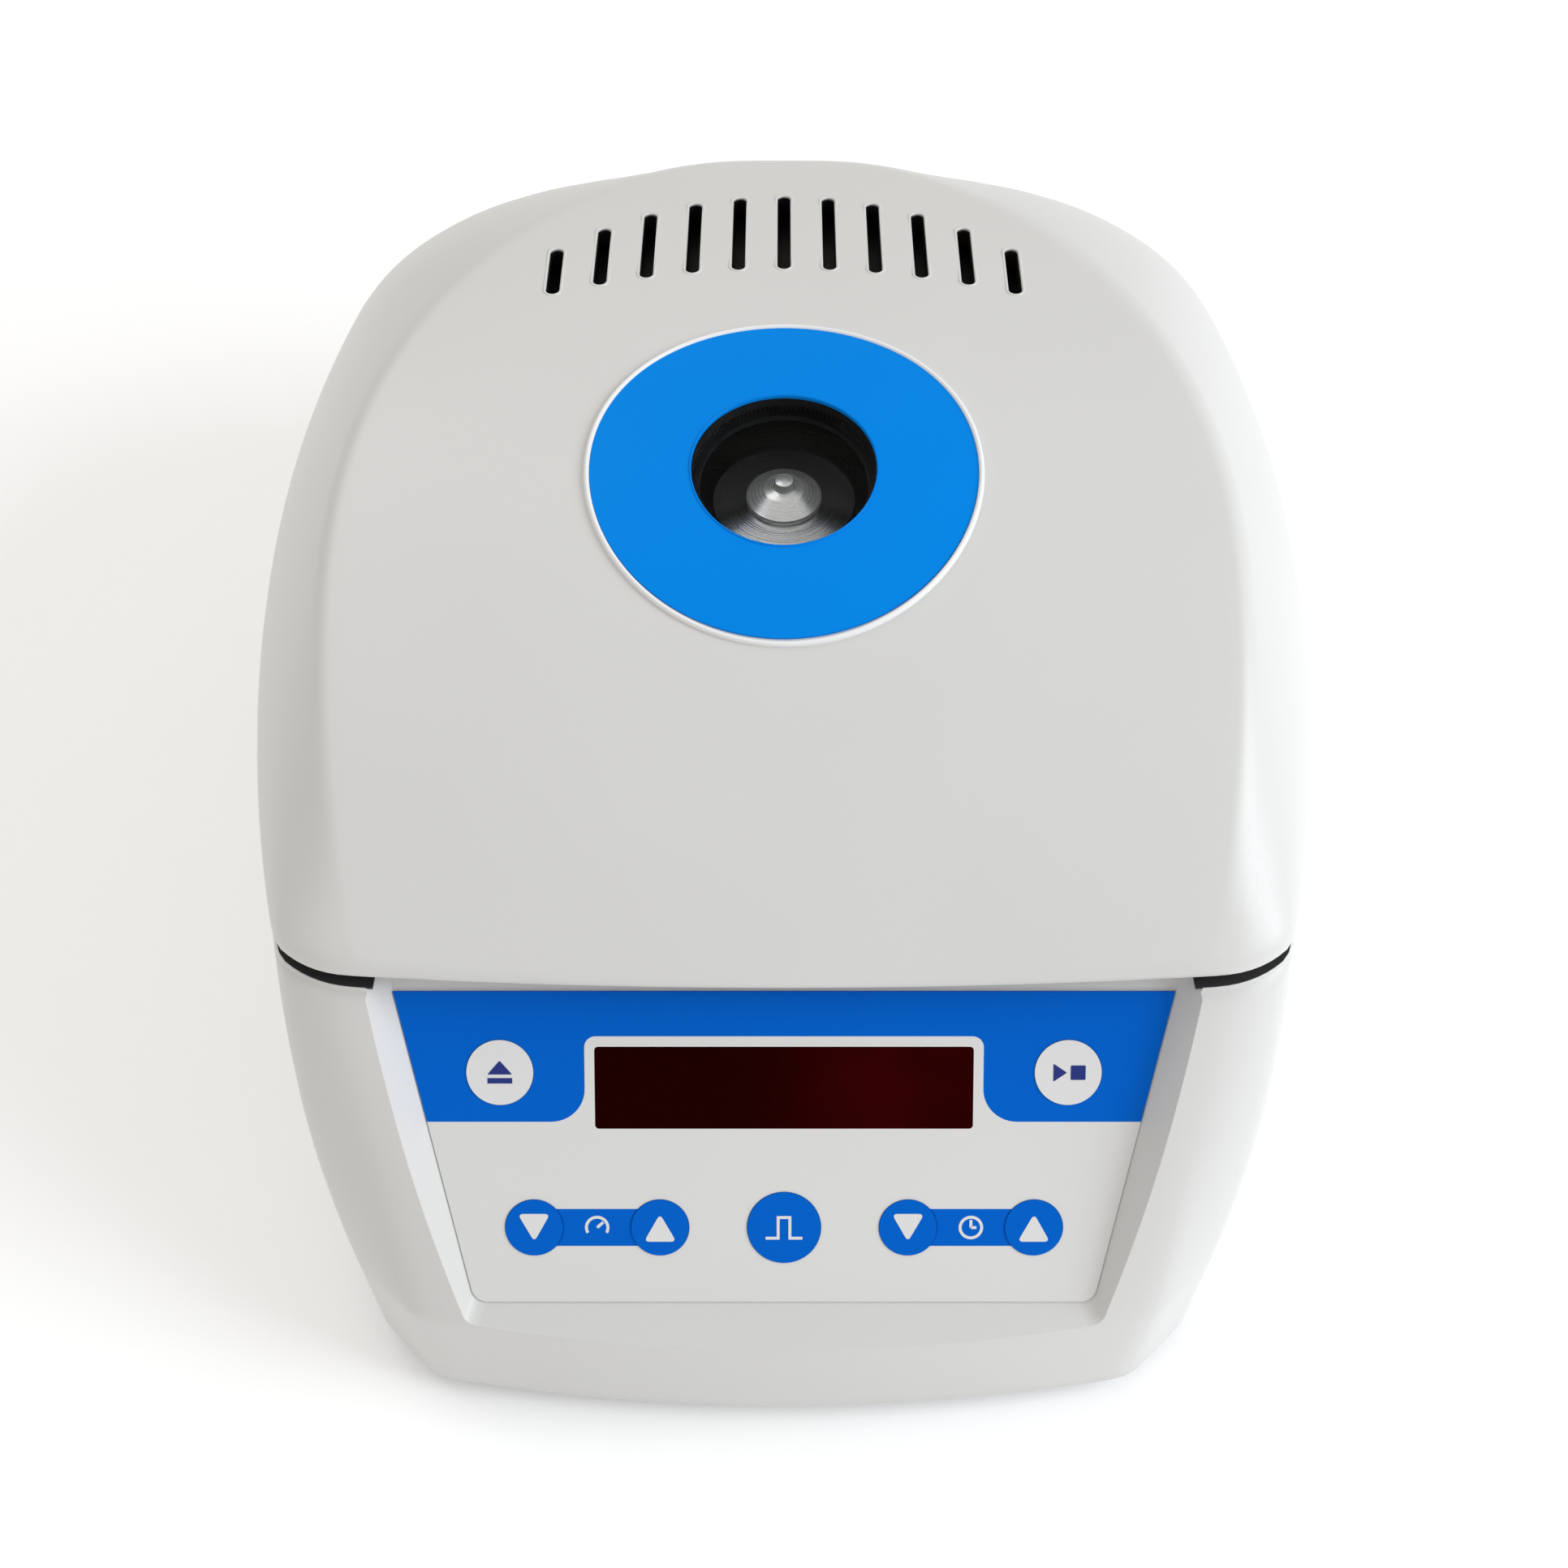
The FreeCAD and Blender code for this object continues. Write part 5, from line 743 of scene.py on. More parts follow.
def rear_points(start, widest, rear_radius, corner, back):
    """From a starting point past the widest place and round the back corner to the middle of the back."""
    lead = widest - start
    lead_radius = lead.length_squared / (2 * lead.x)
    lead_centre = Vector((widest.x - lead_radius, widest.y))
    first = math.atan2(start.y - lead_centre.y, start.x - lead_centre.x)
    radius = rear_radius or lead_radius
    centre = Vector((widest.x - radius, widest.y))
    reach = math.sqrt((radius - corner) ** 2 - (back - corner - widest.y) ** 2)
    corner_centre = Vector((centre.x + reach, back - corner))
    bearing = math.atan2(corner_centre.y - centre.y, corner_centre.x - centre.x)
    half = SIDE_STEPS // 2
    points = turn_points(lead_centre, lead_radius, first, 0.0, half)
    points += turn_points(centre, radius, 0.0, bearing, SIDE_STEPS - half)
    points += turn_points(corner_centre, corner, bearing, math.pi / 2, CORNER_STEPS)
    points += [Vector((corner_centre.x * (1 - i / BACK_STEPS), back)) for i in range(BACK_STEPS + 1)]
    return points


def half_plan(sizes, shell):
    """The right half of a shell's plan, from the middle of the front to the middle of the back."""
    setback, crease_x, bow, facet_x, facet_y, bulge, half_width = sizes
    nose = shell.front + setback
    points = [Vector((crease_x * i / FRONT_STEPS, nose + bow * (i / FRONT_STEPS) ** 2))
              for i in range(FRONT_STEPS)]
    crease = Vector((crease_x, nose + bow))
    chord = Vector((facet_x, facet_y))
    outward = Vector((chord.y, -chord.x)).normalized()
    for i in range(FACET_STEPS):
        part = i / FACET_STEPS
        points.append(crease + chord * part + outward * bulge * 4 * part * (1 - part))
    widest = Vector((half_width, shell.widest))
    return points + rear_points(crease + chord, widest, 0.0, shell.corner, shell.back)


def ring(half):
    """A whole plan from its right half, going round by way of the back."""
    return half + [Vector((-point.x, point.y)) for point in half[-2:0:-1]]


def eased(points, passes):
    """A closed plan with its corners softened."""
    for _ in range(passes):
        count = len(points)
        points = [points[i] * 0.5 + (points[i - 1] + points[(i + 1) % count]) * 0.25 for i in range(count)]
    return points


def drawn_in(points, inset):
    """A closed plan moved inwards."""
    count = len(points)
    moved = []
    for i in range(count):
        along = points[(i + 1) % count] - points[i - 1]
        moved.append(points[i] + Vector((-along.y, along.x)).normalized() * inset)
    return moved


def lifted(points, height):
    """A plan set at a height."""
    return [Vector((point.x, point.y, height)) for point in points]


def spaced(points, shares):
    """Points at given shares of a line's length."""
    lengths = [0.0]
    for near, far in zip(points, points[1:]):
        lengths.append(lengths[-1] + (far - near).length)
    placed = []
    i = 0
    for part in shares:
        target = part * lengths[-1]
        while i < len(points) - 2 and lengths[i + 1] < target:
            i += 1
        run = lengths[i + 1] - lengths[i]
        placed.append(points[i].lerp(points[i + 1], min(1.0, (target - lengths[i]) / run)))
    return placed


# Lid
def dome_height(y, radius):
    """Height of the crown, or of a surface inside it, at a place along Y."""
    lid = settings().lid
    return lid.height - lid.dome + math.sqrt(radius ** 2 - (y - lid.crest) ** 2)


def dome_normal(y):
    """Direction straight out of the crown."""
    lid = settings().lid
    rise = (y - lid.crest) / lid.dome
    return Vector((0.0, rise, math.sqrt(1 - rise ** 2)))


CORNER_SHARE = 0.04
RIM_EASE = 1


def rim_ring():
    """Plan of the lid's lower edge."""
    shell = settings().shell
    return eased(ring(half_plan(shell.rim_plan, shell)), RIM_EASE)


def crown_ring():
    """The crown's outline, one point for each point of the rim."""
    shell = settings().shell
    lid = settings().lid
    rim = half_plan(shell.rim_plan, shell)
    front = [point + Vector((0.0, shell.land)) for point in rim[:FRONT_STEPS]]
    crease = rim[FRONT_STEPS] + Vector((0.0, shell.land))
    path = [crease] + rear_points(crease, Vector((lid.crown_half, lid.crown_wide)), lid.crown_rear,
                                  lid.crown_corner, shell.back - lid.crown_inset)[1:]
    rear = rim[FRONT_STEPS + FACET_STEPS:]
    lengths = [0.0]
    for near, far in zip(rear, rear[1:]):
        lengths.append(lengths[-1] + (far - near).length)
    shares = [CORNER_SHARE * i / FACET_STEPS for i in range(FACET_STEPS)]
    shares += [CORNER_SHARE + (1 - CORNER_SHARE) * run / lengths[-1] for run in lengths]
    return eased(ring(front + spaced(path, shares)), RIM_EASE)


SIDE_SHARES = (0.0, 0.1, 0.2, 0.3, 0.4, 0.5, 0.6, 0.7, 0.8)
SOFT_LIMIT = 0.45
CREASE_STEPS = 6
CROWN_STEPS = 26


def lid_rows(inset):
    """Rings from the lid's lower edge up its sides and over its crown to the port."""
    shell = settings().shell
    lid = settings().lid
    rim = drawn_in(rim_ring(), inset)
    crown = drawn_in(crown_ring(), inset)
    radius = lid.dome - inset
    port = Vector((0.0, lid.port_y))
    low = shell.rim + shell.land
    columns = []
    for foot, top in zip(rim, crown):
        head = Vector((top.x, top.y, dome_height(top.y, radius)))
        inward = (port - foot).normalized()
        edge = shell.edge * 0.5

        def on_side(part):
            lean = lid.lean * part + (1 - lid.lean) * part ** 2
            plan = foot.lerp(top, lean)
            return Vector((plan.x, plan.y, low + (head.z - low) * part))

        def on_crown(part):
            start = port + (top - port).normalized() * lid.port_hole
            plan = top.lerp(start, part)
            return Vector((plan.x, plan.y, dome_height(plan.y, radius)))

        column = [Vector((*(foot + inward * edge), shell.rim)), Vector((*foot, shell.rim + edge))]
        side_run = (head - on_side(0.0)).length
        soft = min(lid.softness, SOFT_LIMIT * side_run)
        last = 1 - soft / side_run
        column += [on_side(part * last / SIDE_SHARES[-1]) for part in SIDE_SHARES]
        crown_run = (top - port).length - lid.port_hole
        first = soft / crown_run
        leave = on_side(last)
        land = on_crown(first)
        for i in range(1, CREASE_STEPS):
            part = i / CREASE_STEPS
            column.append(leave * (1 - part) ** 2 + head * 2 * part * (1 - part) + land * part ** 2)
        column += [on_crown(first + (1 - first) * i / CROWN_STEPS) for i in range(CROWN_STEPS + 1)]
        columns.append(column)
    return [list(row) for row in zip(*columns)]


def slot_plan(number, margin, steps=10):
    """The outline of one air slot in plan, widened by a margin."""
    lid = settings().lid
    last = (lid.slots - 1) // 2
    part = (number / last) ** 2
    run = lid.slot_length * (1 - lid.slot_taper * part)
    start = lid.slot_front - lid.slot_bow * part
    radius = lid.slot_width / 2
    x = number * lid.slot_pitch
    points = []
    for middle, first in ((start + run - radius, 0.0), (start + radius, math.pi)):
        for i in range(steps + 1):
            bearing = first + math.pi * i / steps
            points.append(Vector((x + (radius + margin) * math.cos(bearing),
                                  middle + (radius + margin) * math.sin(bearing))))
    return points


def slot_numbers():
    """The slots, counted from the middle one."""
    last = (settings().lid.slots - 1) // 2
    return range(-last, last + 1)


class CENTRIFUGE_OT_lid(bpy.types.Operator):
    """Lid: a crown with bulging sides, the port's hole and a row of air slots"""
    bl_idname = "centrifuge.lid"
    bl_label = "Lid"

    def execute(self, context):
        shell = settings().shell
        outer = lid_rows(0.0)
        inner = lid_rows(shell.wall)
        bm = bmesh.new()
        skin(bm, outer + inner[::-1], closed_rows=True)
        bmesh.ops.recalc_face_normals(bm, faces=bm.faces)
        reach = (shell.rim + 4 * shell.wall, settings().lid.height + 4 * shell.wall)
        cutters = [capped([lifted(slot_plan(number, 0.0), height) for height in reach])
                   for number in slot_numbers()]
        mesh = carve(bm, cutters, "lid_crown")
        smooth(mesh, sharp=40.0)
        piece("lid_crown", mesh, casing_material(), "lid", ("lid_shell",))
        return {"FINISHED"}


SLOT_SIDES = 8
SLOT_OUT = 0.75
SLOT_SINK = 0.45


class CENTRIFUGE_OT_slot_edges(bpy.types.Operator):
    """Rounded edges round the air slots"""
    bl_idname = "centrifuge.slot_edges"
    bl_label = "Slot edges"

    def execute(self, context):
        lid = settings().lid
        bm = bmesh.new()
        for number in slot_numbers():
            path = slot_plan(number, lid.slot_bead * SLOT_OUT)
            count = len(path)
            rows = []
            for i in range(SLOT_SIDES):
                bearing = math.tau * i / SLOT_SIDES
                out = lid.slot_bead * math.cos(bearing)
                up = lid.slot_bead * (math.sin(bearing) - SLOT_SINK)
                row = []
                for k in range(count):
                    along = path[(k + 1) % count] - path[k - 1]
                    side = Vector((along.y, -along.x)).normalized()
                    plan = path[k] + side * out
                    row.append(Vector((*plan, dome_height(plan.y, lid.dome))) + dome_normal(plan.y) * up)
                rows.append(row)
            skin(bm, rows, closed_rows=True)
        piece("slot_edges", finished_mesh(bm, "slot_edges", sharp=80.0), casing_material(), "lid")
        return {"FINISHED"}


class CENTRIFUGE_OT_slot_shade(bpy.types.Operator):
    """Painted shade: black sheets down the walls of the air slots, darkening them where shade falls inside
    """
    bl_idname = "centrifuge.slot_liners"
    bl_label = "Slot liners"

    def execute(self, context):
        lid = settings().lid
        shade_sheet = bmesh.new()
        half = lid.slot_shade_width / 2
        for number in slot_numbers():
            rows = []
            for margin, drop in ((half, lid.slot_drop), (half, lid.slot_deep), (-half, lid.slot_deep),
                                 (-half, lid.slot_drop)):
                rows.append([Vector((*plan, dome_height(plan.y, lid.dome) - drop))
                             for plan in slot_plan(number, margin)])
            skin(shade_sheet, rows, closed_rows=True)
        piece("slot_liners", finished_mesh(shade_sheet, "slot_liners"), black_material(), "lid")
        return {"FINISHED"}


BEAD_SIDES = 12
BEAD_STEPS = 160
BEAD_FOOT = -0.3


def dome_bead(radius, half, rise):
    """Rings of a rounded bead that lies on the crown round the port."""
    lid = settings().lid
    rows = []
    for i in range(BEAD_SIDES):
        side = math.tau * i / BEAD_SIDES
        around = radius + half * math.cos(side)
        up = rise * max(math.sin(side), BEAD_FOOT)
        row = []
        for k in range(BEAD_STEPS):
            bearing = math.tau * k / BEAD_STEPS
            y = lid.port_y + around * math.sin(bearing) * math.cos(lid.port_tilt)
            place = Vector((around * math.cos(bearing), y, dome_height(y, lid.dome)))
            row.append(place + dome_normal(y) * up)
        rows.append(row)
    return rows


class CENTRIFUGE_OT_port(bpy.types.Operator):
    """Rounded ring round the label and the label's edge at the opening"""
    bl_idname = "centrifuge.port"
    bl_label = "Port"

    def execute(self, context):
        lid = settings().lid
        half = (lid.ring - lid.label) / 2
        lip = lid.port_lip
        for name, radius, width, rise, material, slot, nodes in (
                ("port_ring", lid.label + half, half, lid.ring_rise, white_material(), "ring_film",
                 ("window_ring",)),
                ("port_lip", lid.port_clear + lip, lip, lid.label_rise + lip, label_material(), "blue_film",
                 ())):
            bm = bmesh.new()
            skin(bm, dome_bead(radius, width, rise), closed_rows=True)
            piece(name, finished_mesh(bm, name, sharp=60.0), material, "lid", nodes)
        return {"FINISHED"}


BAFFLE_STEPS = 12


class CENTRIFUGE_OT_baffle(bpy.types.Operator):
    """Black baffle that follows the crown below the air slots"""
    bl_idname = "centrifuge.baffle"
    bl_label = "Baffle"

    def execute(self, context):
        lid = settings().lid
        half = lid.baffle_half
        rows = []
        for i in range(BAFFLE_STEPS + 1):
            y = lid.baffle_front + (lid.baffle_back - lid.baffle_front) * i / BAFFLE_STEPS
            top = dome_height(y, lid.dome) - lid.baffle_drop
            low = top - lid.baffle_sheet
            section = ((-half, low), (half, low), (half, top), (-half, top))
            rows.append([Vector((x, y, z)) for x, z in section])
        mesh = finished_mesh(capped(rows), "vent_baffle")
        piece("vent_baffle", mesh, black_material(), "lid")
        return {"FINISHED"}


POST_SINK = 0.7


class CENTRIFUGE_OT_posts(bpy.types.Operator):
    """Posts inside the lid for its liner, the striker and the hinges"""
    bl_idname = "centrifuge.posts"
    bl_label = "Lid posts"

    def execute(self, context):
        shell = settings().shell
        lid = settings().lid
        axis = settings().spindle.axis
        inside = lid.dome - shell.wall * POST_SINK
        bm = bmesh.new()
        for x in (-lid.post_x, lid.post_x):
            for y in (axis - lid.post_y, axis + lid.post_y):
                top = dome_height(y, inside)
                joined(bm, solid_rod((x, y), lid.post, lid.post_foot, top, segments=32))
        front = lid.striker_y - lid.striker_deep
        joined(bm, soft_box((-lid.striker_half, front, lid.striker_foot),
                            (lid.striker_half, lid.striker_y + lid.striker_deep,
                             dome_height(front, inside)),
                            shell.edge * 0.5))
        for middle in (-lid.hinge_x, lid.hinge_x):
            joined(bm, soft_box((middle - lid.hinge_half, shell.back - lid.hinge_deep, shell.rim),
                                (middle + lid.hinge_half, shell.back, lid.hinge_top), shell.edge * 0.5))
        piece("lid_posts", finished_mesh(bm, "lid_posts"), casing_material(), "lid")
        return {"FINISHED"}


# Base
BASE_LEVELS = (0.0, 0.05, 0.2, 0.4, 0.6, 0.75, 0.86, 0.94, 1.0)
BASE_EASE = 1


def bowed(points, heights, height):
    """The place at one height on the curve through three points."""
    place = Vector((0.0, 0.0))
    for i, point in enumerate(points):
        part = 1.0
        for k, other in enumerate(heights):
            if k != i:
                part *= (height - other) / (heights[i] - other)
        place += point * part
    return place


def level_rows(inset):
    """Rings of the base's outside from its underside to its deck, the corners eased."""
    shell = settings().shell
    levels = [(shell.foot, shell.bottom_plan), (shell.lip, shell.lip_plan), (shell.waist, shell.waist_plan),
              (shell.deck, shell.deck_plan)]
    heights = [height for height, sizes in levels]
    plans = [drawn_in(eased(ring(half_plan(sizes, shell)), BASE_EASE), inset) for height, sizes in levels]
    rows = []
    for i in range(len(levels) - 1):
        for part in BASE_LEVELS[:-1]:
            height = heights[i] + (heights[i + 1] - heights[i]) * part
            if i == 0:
                outline = [near.lerp(far, part) for near, far in zip(plans[0], plans[1])]
            else:
                outline = [bowed(points, heights[1:], height) for points in zip(*plans[1:])]
            rows.append(lifted(outline, height))
    rows.append(lifted(plans[-1], shell.deck))
    return rows


def softened_rows(rows, passes):
    """Level rings whose sections are eased from one to the next; the end rings stay."""
    for _ in range(passes):
        between = []
        for below, row, above in zip(rows, rows[1:], rows[2:]):
            part = (row[0].z - below[0].z) / (above[0].z - below[0].z)
            between.append([point.lerp(low.lerp(high, part), 0.5)
                            for low, point, high in zip(below, row, above)])
        rows = [rows[0], *between, rows[-1]]
    return rows


def panel_matrix():
    """The panel's own frame: x across, y up the slope, z out of the film."""
    panel = settings().panel
    return Matrix.Translation((0.0, panel.origin_y, panel.origin_z)) @ Matrix.Rotation(panel.slope, 4, "X")


def panel_outline(margin, above, below, height, steps=8):
    """The panel's outline with rounded lower corners, in the panel's own frame."""
    panel = settings().panel
    spread = (panel.top_half - panel.bottom_half) / panel.length
    top = Vector((panel.top_half + margin + spread * above, above))
    bottom = Vector((panel.bottom_half + margin - spread * below, -panel.length - below))
    up = (top - bottom).normalized()
    bend = math.acos(up.x)
    setback = panel.corner / math.tan((math.pi - bend) / 2)
    centre = Vector((bottom.x - setback, bottom.y + panel.corner))
    first = -math.pi / 2
    last = math.atan2(-up.x, up.y)
    bearings = [first + (last - first) * i / steps for i in range(steps + 1)]
    right = [centre + Vector((math.cos(bearing), math.sin(bearing))) * panel.corner for bearing in bearings]
    right.append(top)
    left = [Vector((-point.x, point.y)) for point in reversed(right)]
    return [panel_matrix() @ Vector((*point, height)) for point in right + left]


def base_hollow():
    """The space inside the base, behind the panel's wall."""
    shell = settings().shell
    panel = settings().panel
    rows = level_rows(shell.wall)
    top = shell.deck - shell.wall
    rows = [row for row in rows if row[0].z < top]
    rows.append([Vector((point.x, point.y, top)) for point in rows[-1]])
    rows.insert(0, [Vector((point.x, point.y, shell.foot - shell.wall)) for point in rows[0]])
    bm = capped(rows)
    frame_matrix = panel_matrix()
    bmesh.ops.bisect_plane(
        bm, geom=bm.verts[:] + bm.edges[:] + bm.faces[:], dist=1e-7,
        plane_co=frame_matrix @ Vector((0.0, 0.0, -panel.film - shell.wall)),
        plane_no=frame_matrix.to_3x3() @ Vector((0.0, 0.0, 1.0)), clear_outer=True)
    bmesh.ops.holes_fill(bm, edges=[edge for edge in bm.edges if edge.is_boundary], sides=0)
    return bm


FLAT_AREA = 0.0004
EDGE_STEPS = 4
FOOT_IN = 0.35
FOOT_UP = 0.3


class CENTRIFUGE_OT_base(bpy.types.Operator):
    """Base: a tub with a deck, a sloping recess for the panel and openings for bowl, latch and mains"""
    bl_idname = "centrifuge.base"
    bl_label = "Base"

    def execute(self, context):
        shell = settings().shell
        panel = settings().panel
        rows = softened_rows(level_rows(0.0), passes=1)
        edge = shell.edge
        deck = [Vector((point.x, point.y)) for point in rows[-1]]
        rows = [row for row in rows if shell.foot + edge < row[0].z < shell.deck - edge]
        foot = [Vector((point.x, point.y)) for point in rows[0]]
        rows.insert(0, lifted(drawn_in(foot, edge * FOOT_IN), shell.foot + edge * FOOT_UP))
        rows.insert(0, lifted(drawn_in(foot, edge), shell.foot))
        for part in range(EDGE_STEPS + 1):
            turn = math.pi / 2 * part / EDGE_STEPS
            drawn = drawn_in(deck, edge * (1 - math.cos(turn)))
            rows.append(lifted(drawn, shell.deck - edge * (1 - math.sin(turn))))
        bm = capped(rows)
        recess = capped([panel_outline(0.0, shell.wall, 0.0, -panel.film),
                         panel_outline(panel.flare, 4 * shell.wall, 2 * panel.flare, panel.reach)])
        window = capped([panel_outline(-panel.ledge, -panel.ledge, -panel.ledge, height)
                         for height in (-4 * shell.wall, 4 * shell.wall)])
        fit = settings().fittings
        deep = shell.wall * 2
        cutters = [
            recess,
            base_hollow(),
            window,
            solid_rod((0.0, settings().spindle.axis), shell.bowl, shell.deck - deep, shell.deck + deep),
            solid_box((-shell.latch_half, shell.latch_front, shell.deck - deep),
                      (shell.latch_half, shell.latch_back, shell.deck + deep)),
        ]
        for x, half, rise in ((fit.inlet_x, fit.inlet_half, fit.inlet_rise),
                              (fit.rocker_x, fit.switch_half, fit.switch_rise)):
            cutters.append(solid_box((x - half, shell.back - deep, fit.rocker_z - rise),
                                     (x + half, shell.back + deep, fit.rocker_z + rise)))
        mesh = carve(bm, cutters, "base_tub")
        smooth(mesh, sharp=32.0)
        for polygon in mesh.polygons:
            if polygon.area > FLAT_AREA:
                polygon.use_smooth = False
        piece("base_tub", mesh, casing_material(), "base", ("base_housing",))
        return {"FINISHED"}


class CENTRIFUGE_OT_gap_shade(bpy.types.Operator):
    """Painted shade: a dark strip along the deck's edge, from one side of the panel round the back to the
    other, that darkens the gap under the lid's rim
    """
    bl_idname = "centrifuge.deck_seal"
    bl_label = "Deck seal"

    def execute(self, context):
        shell = settings().shell
        edge = shell.edge
        deck = [Vector((point.x, point.y)) for point in level_rows(0.0)[-1]]
        outside = lifted(drawn_in(deck, edge * 0.5), shell.deck - edge * 0.5)
        inside = lifted(drawn_in(deck, shell.seal), shell.deck - edge * 0.5)
        rise = Vector((0.0, 0.0, edge * 0.5 + shell.gap_shade_rise))
        first = next(i for i, point in enumerate(deck) if point.x > shell.gap_shade_start)
        strip = [[outside[i], outside[i] + rise, inside[i] + rise, inside[i]]
                 for i in range(first, len(deck) - first + 1)]
        piece("deck_seal", finished_mesh(capped(strip), "deck_seal"), rubber_material(), "base")
        return {"FINISHED"}


# Printed marks on the keys and bars
def printed(bm, outline, matrix):
    """Add a thin plate of that outline, in the place that the matrix gives."""
    levels = (0.0, settings().panel.mark)
    joined(bm, capped([[matrix @ Vector((*point, level)) for point in outline] for level in levels]))


def arc_band(radius, width, first, last, steps=24):
    """The outline of part of a ring."""
    bearings = [first + (last - first) * i / steps for i in range(steps + 1)]
    outer = [Vector((math.cos(bearing), math.sin(bearing))) * radius for bearing in bearings]
    inner = [point * ((radius - width) / radius) for point in reversed(outer)]
    return outer + inner


def stroke(start, end, width):
    """The outline of a straight line of that width."""
    along = (end - start).normalized()
    side = Vector((-along.y, along.x)) * width / 2
    return [start - side, end - side, end + side, start + side]


def arrow(way):
    """A rounded triangle that points up or down the slope."""
    panel = settings().panel
    half = panel.arrow_half
    tall = panel.arrow_height / 2 * way
    corners = [Vector((-half, -tall)), Vector((half, -tall)), Vector((0.0, tall))]
    return [rounded(corners, panel.arrow_corner)]


# Outlines of the icons, in half sizes of an icon
LID_TRIANGLE = ((-1.0, -0.15), (1.0, -0.15), (0.0, 1.0))
LID_BAR = ((-1.0, -0.9), (1.0, -0.9), (1.0, -0.45), (-1.0, -0.45))
START_TRIANGLE = ((-1.2, -0.75), (-0.1, 0.0), (-1.2, 0.75))
STOP_SQUARE = ((0.2, -0.6), (1.4, -0.6), (1.4, 0.6), (0.2, 0.6))
NEEDLE = ((0.0, 0.0), (0.5, 0.45))
LONG_HAND = ((0.0, 0.0), (0.0, 0.65))
SHORT_HAND = ((0.0, 0.0), (0.45, 0.0))
GAUGE_START = math.radians(-30)
GAUGE_END = math.radians(210)
PULSE_REACH = 1.5
PULSE_HALF = 0.6


def scaled(points):
    """An icon's outline in its real size."""
    return [Vector(point) * settings().panel.icon for point in points]


def lid_icon():
    """A triangle over a bar: open the lid."""
    return [rounded(scaled(LID_TRIANGLE), settings().panel.stroke * 0.5), scaled(LID_BAR)]


def start_icon():
    """A triangle beside a square: start and stop."""
    line = settings().panel.stroke
    return [rounded(scaled(START_TRIANGLE), line * 0.5), rounded(scaled(STOP_SQUARE), line * 0.4)]


def gauge_icon():
    """A dial with its needle: speed."""
    panel = settings().panel
    return [arc_band(panel.icon, panel.stroke, GAUGE_START, GAUGE_END),
            stroke(*scaled(NEEDLE), panel.stroke)]


def clock_icon():
    """A ring with two hands: time."""
    panel = settings().panel
    return [arc_band(panel.icon, panel.stroke, 0.0, math.pi),
            arc_band(panel.icon, panel.stroke, math.pi, math.tau),
            stroke(*scaled(LONG_HAND), panel.stroke), stroke(*scaled(SHORT_HAND), panel.stroke)]


def pulse_icon():
    """One square pulse: a short spin."""
    panel = settings().panel
    top = panel.icon
    line = panel.stroke
    reach = PULSE_REACH * panel.icon
    half = PULSE_HALF * panel.icon
    left = [(-half, top), (-half, line - top), (-reach, line - top), (-reach, -top), (line - half, -top),
            (line - half, top - line)]
    right = [(-x, y) for x, y in reversed(left)]
    return [[Vector(point) for point in left + right]]


class CENTRIFUGE_OT_marks(bpy.types.Operator):
    """Arrows and plain icons printed on the keys and bars"""
    bl_idname = "centrifuge.marks"
    bl_label = "Marks"

    def execute(self, context):
        panel = settings().panel
        grey = grey_print()
        navy = navy_material()
        between = (panel.inner_x + panel.outer_x) / 2
        top = panel.key_top
        for name, outlines, x, drop, height, material, body, slot in (
                ("lid_mark", lid_icon(), -panel.upper_x, panel.upper_drop, top, navy, "lid_key",
                 "key_blue"),
                ("start_mark", start_icon(), panel.upper_x, panel.upper_drop, top, navy, "start_stop_key",
                 "key_blue"),
                ("speed_down_mark", arrow(-1), -panel.outer_x, panel.lower_drop, top, grey, "speed_down_key",
                 "key_grey"),
                ("speed_up_mark", arrow(1), -panel.inner_x, panel.lower_drop, top, grey, "speed_up_key",
                 "key_grey"),
                ("short_mark", pulse_icon(), 0.0, panel.lower_drop, top, grey, "short_spin_key",
                 "key_grey"),
                ("time_down_mark", arrow(-1), panel.inner_x, panel.lower_drop, top, grey, "time_down_key",
                 "key_grey"),
                ("time_up_mark", arrow(1), panel.outer_x, panel.lower_drop, top, grey, "time_up_key",
                 "key_grey"),
                ("speed_mark", gauge_icon(), -between, panel.lower_drop, 0.0, grey, "base", "key_grey"),
                ("time_mark", clock_icon(), between, panel.lower_drop, 0.0, grey, "base", "key_grey")):
            bm = bmesh.new()
            for outline in outlines:
                printed(bm, outline, panel_matrix() @ Matrix.Translation((x, -drop, height)))
            piece(name, finished_mesh(bm, name), material, body)
        return {"FINISHED"}


# Rotor and nut
class CENTRIFUGE_OT_nut(bpy.types.Operator):
    """Bright nut on the spindle: a flange, a cone and a pin"""
    bl_idname = "centrifuge.nut"
    bl_label = "Nut"

    def execute(self, context):
        spindle = settings().spindle
        edge = spindle.edge
        bevel = edge * 0.3
        seat = spindle.seat
        ledge = seat + spindle.flange_height
        neck = ledge + spindle.cone
        top = seat + spindle.height
        flange = ((spindle.flange - edge, seat), (spindle.flange, seat + edge),
                  (spindle.flange, ledge - edge), (spindle.flange - bevel, ledge - bevel),
                  (spindle.flange - edge, ledge))
        cone = ((spindle.neck + edge, neck - edge * 0.5), (spindle.neck, neck))
        pin = ((spindle.pin + edge, neck), (spindle.pin + bevel, neck + bevel), (spindle.pin, neck + edge),
               (spindle.pin, top - edge), (spindle.pin - bevel, top - bevel), (spindle.pin - edge, top))
        nut = lathe(flange + cone + pin, (0.0, spindle.axis))
        piece("spindle_nut", finished_mesh(nut, "spindle_nut", sharp=35.0), satin_material(), "spindle",
              ("rotor_nut",))
        return {"FINISHED"}


ROTOR_SEGMENTS = 144


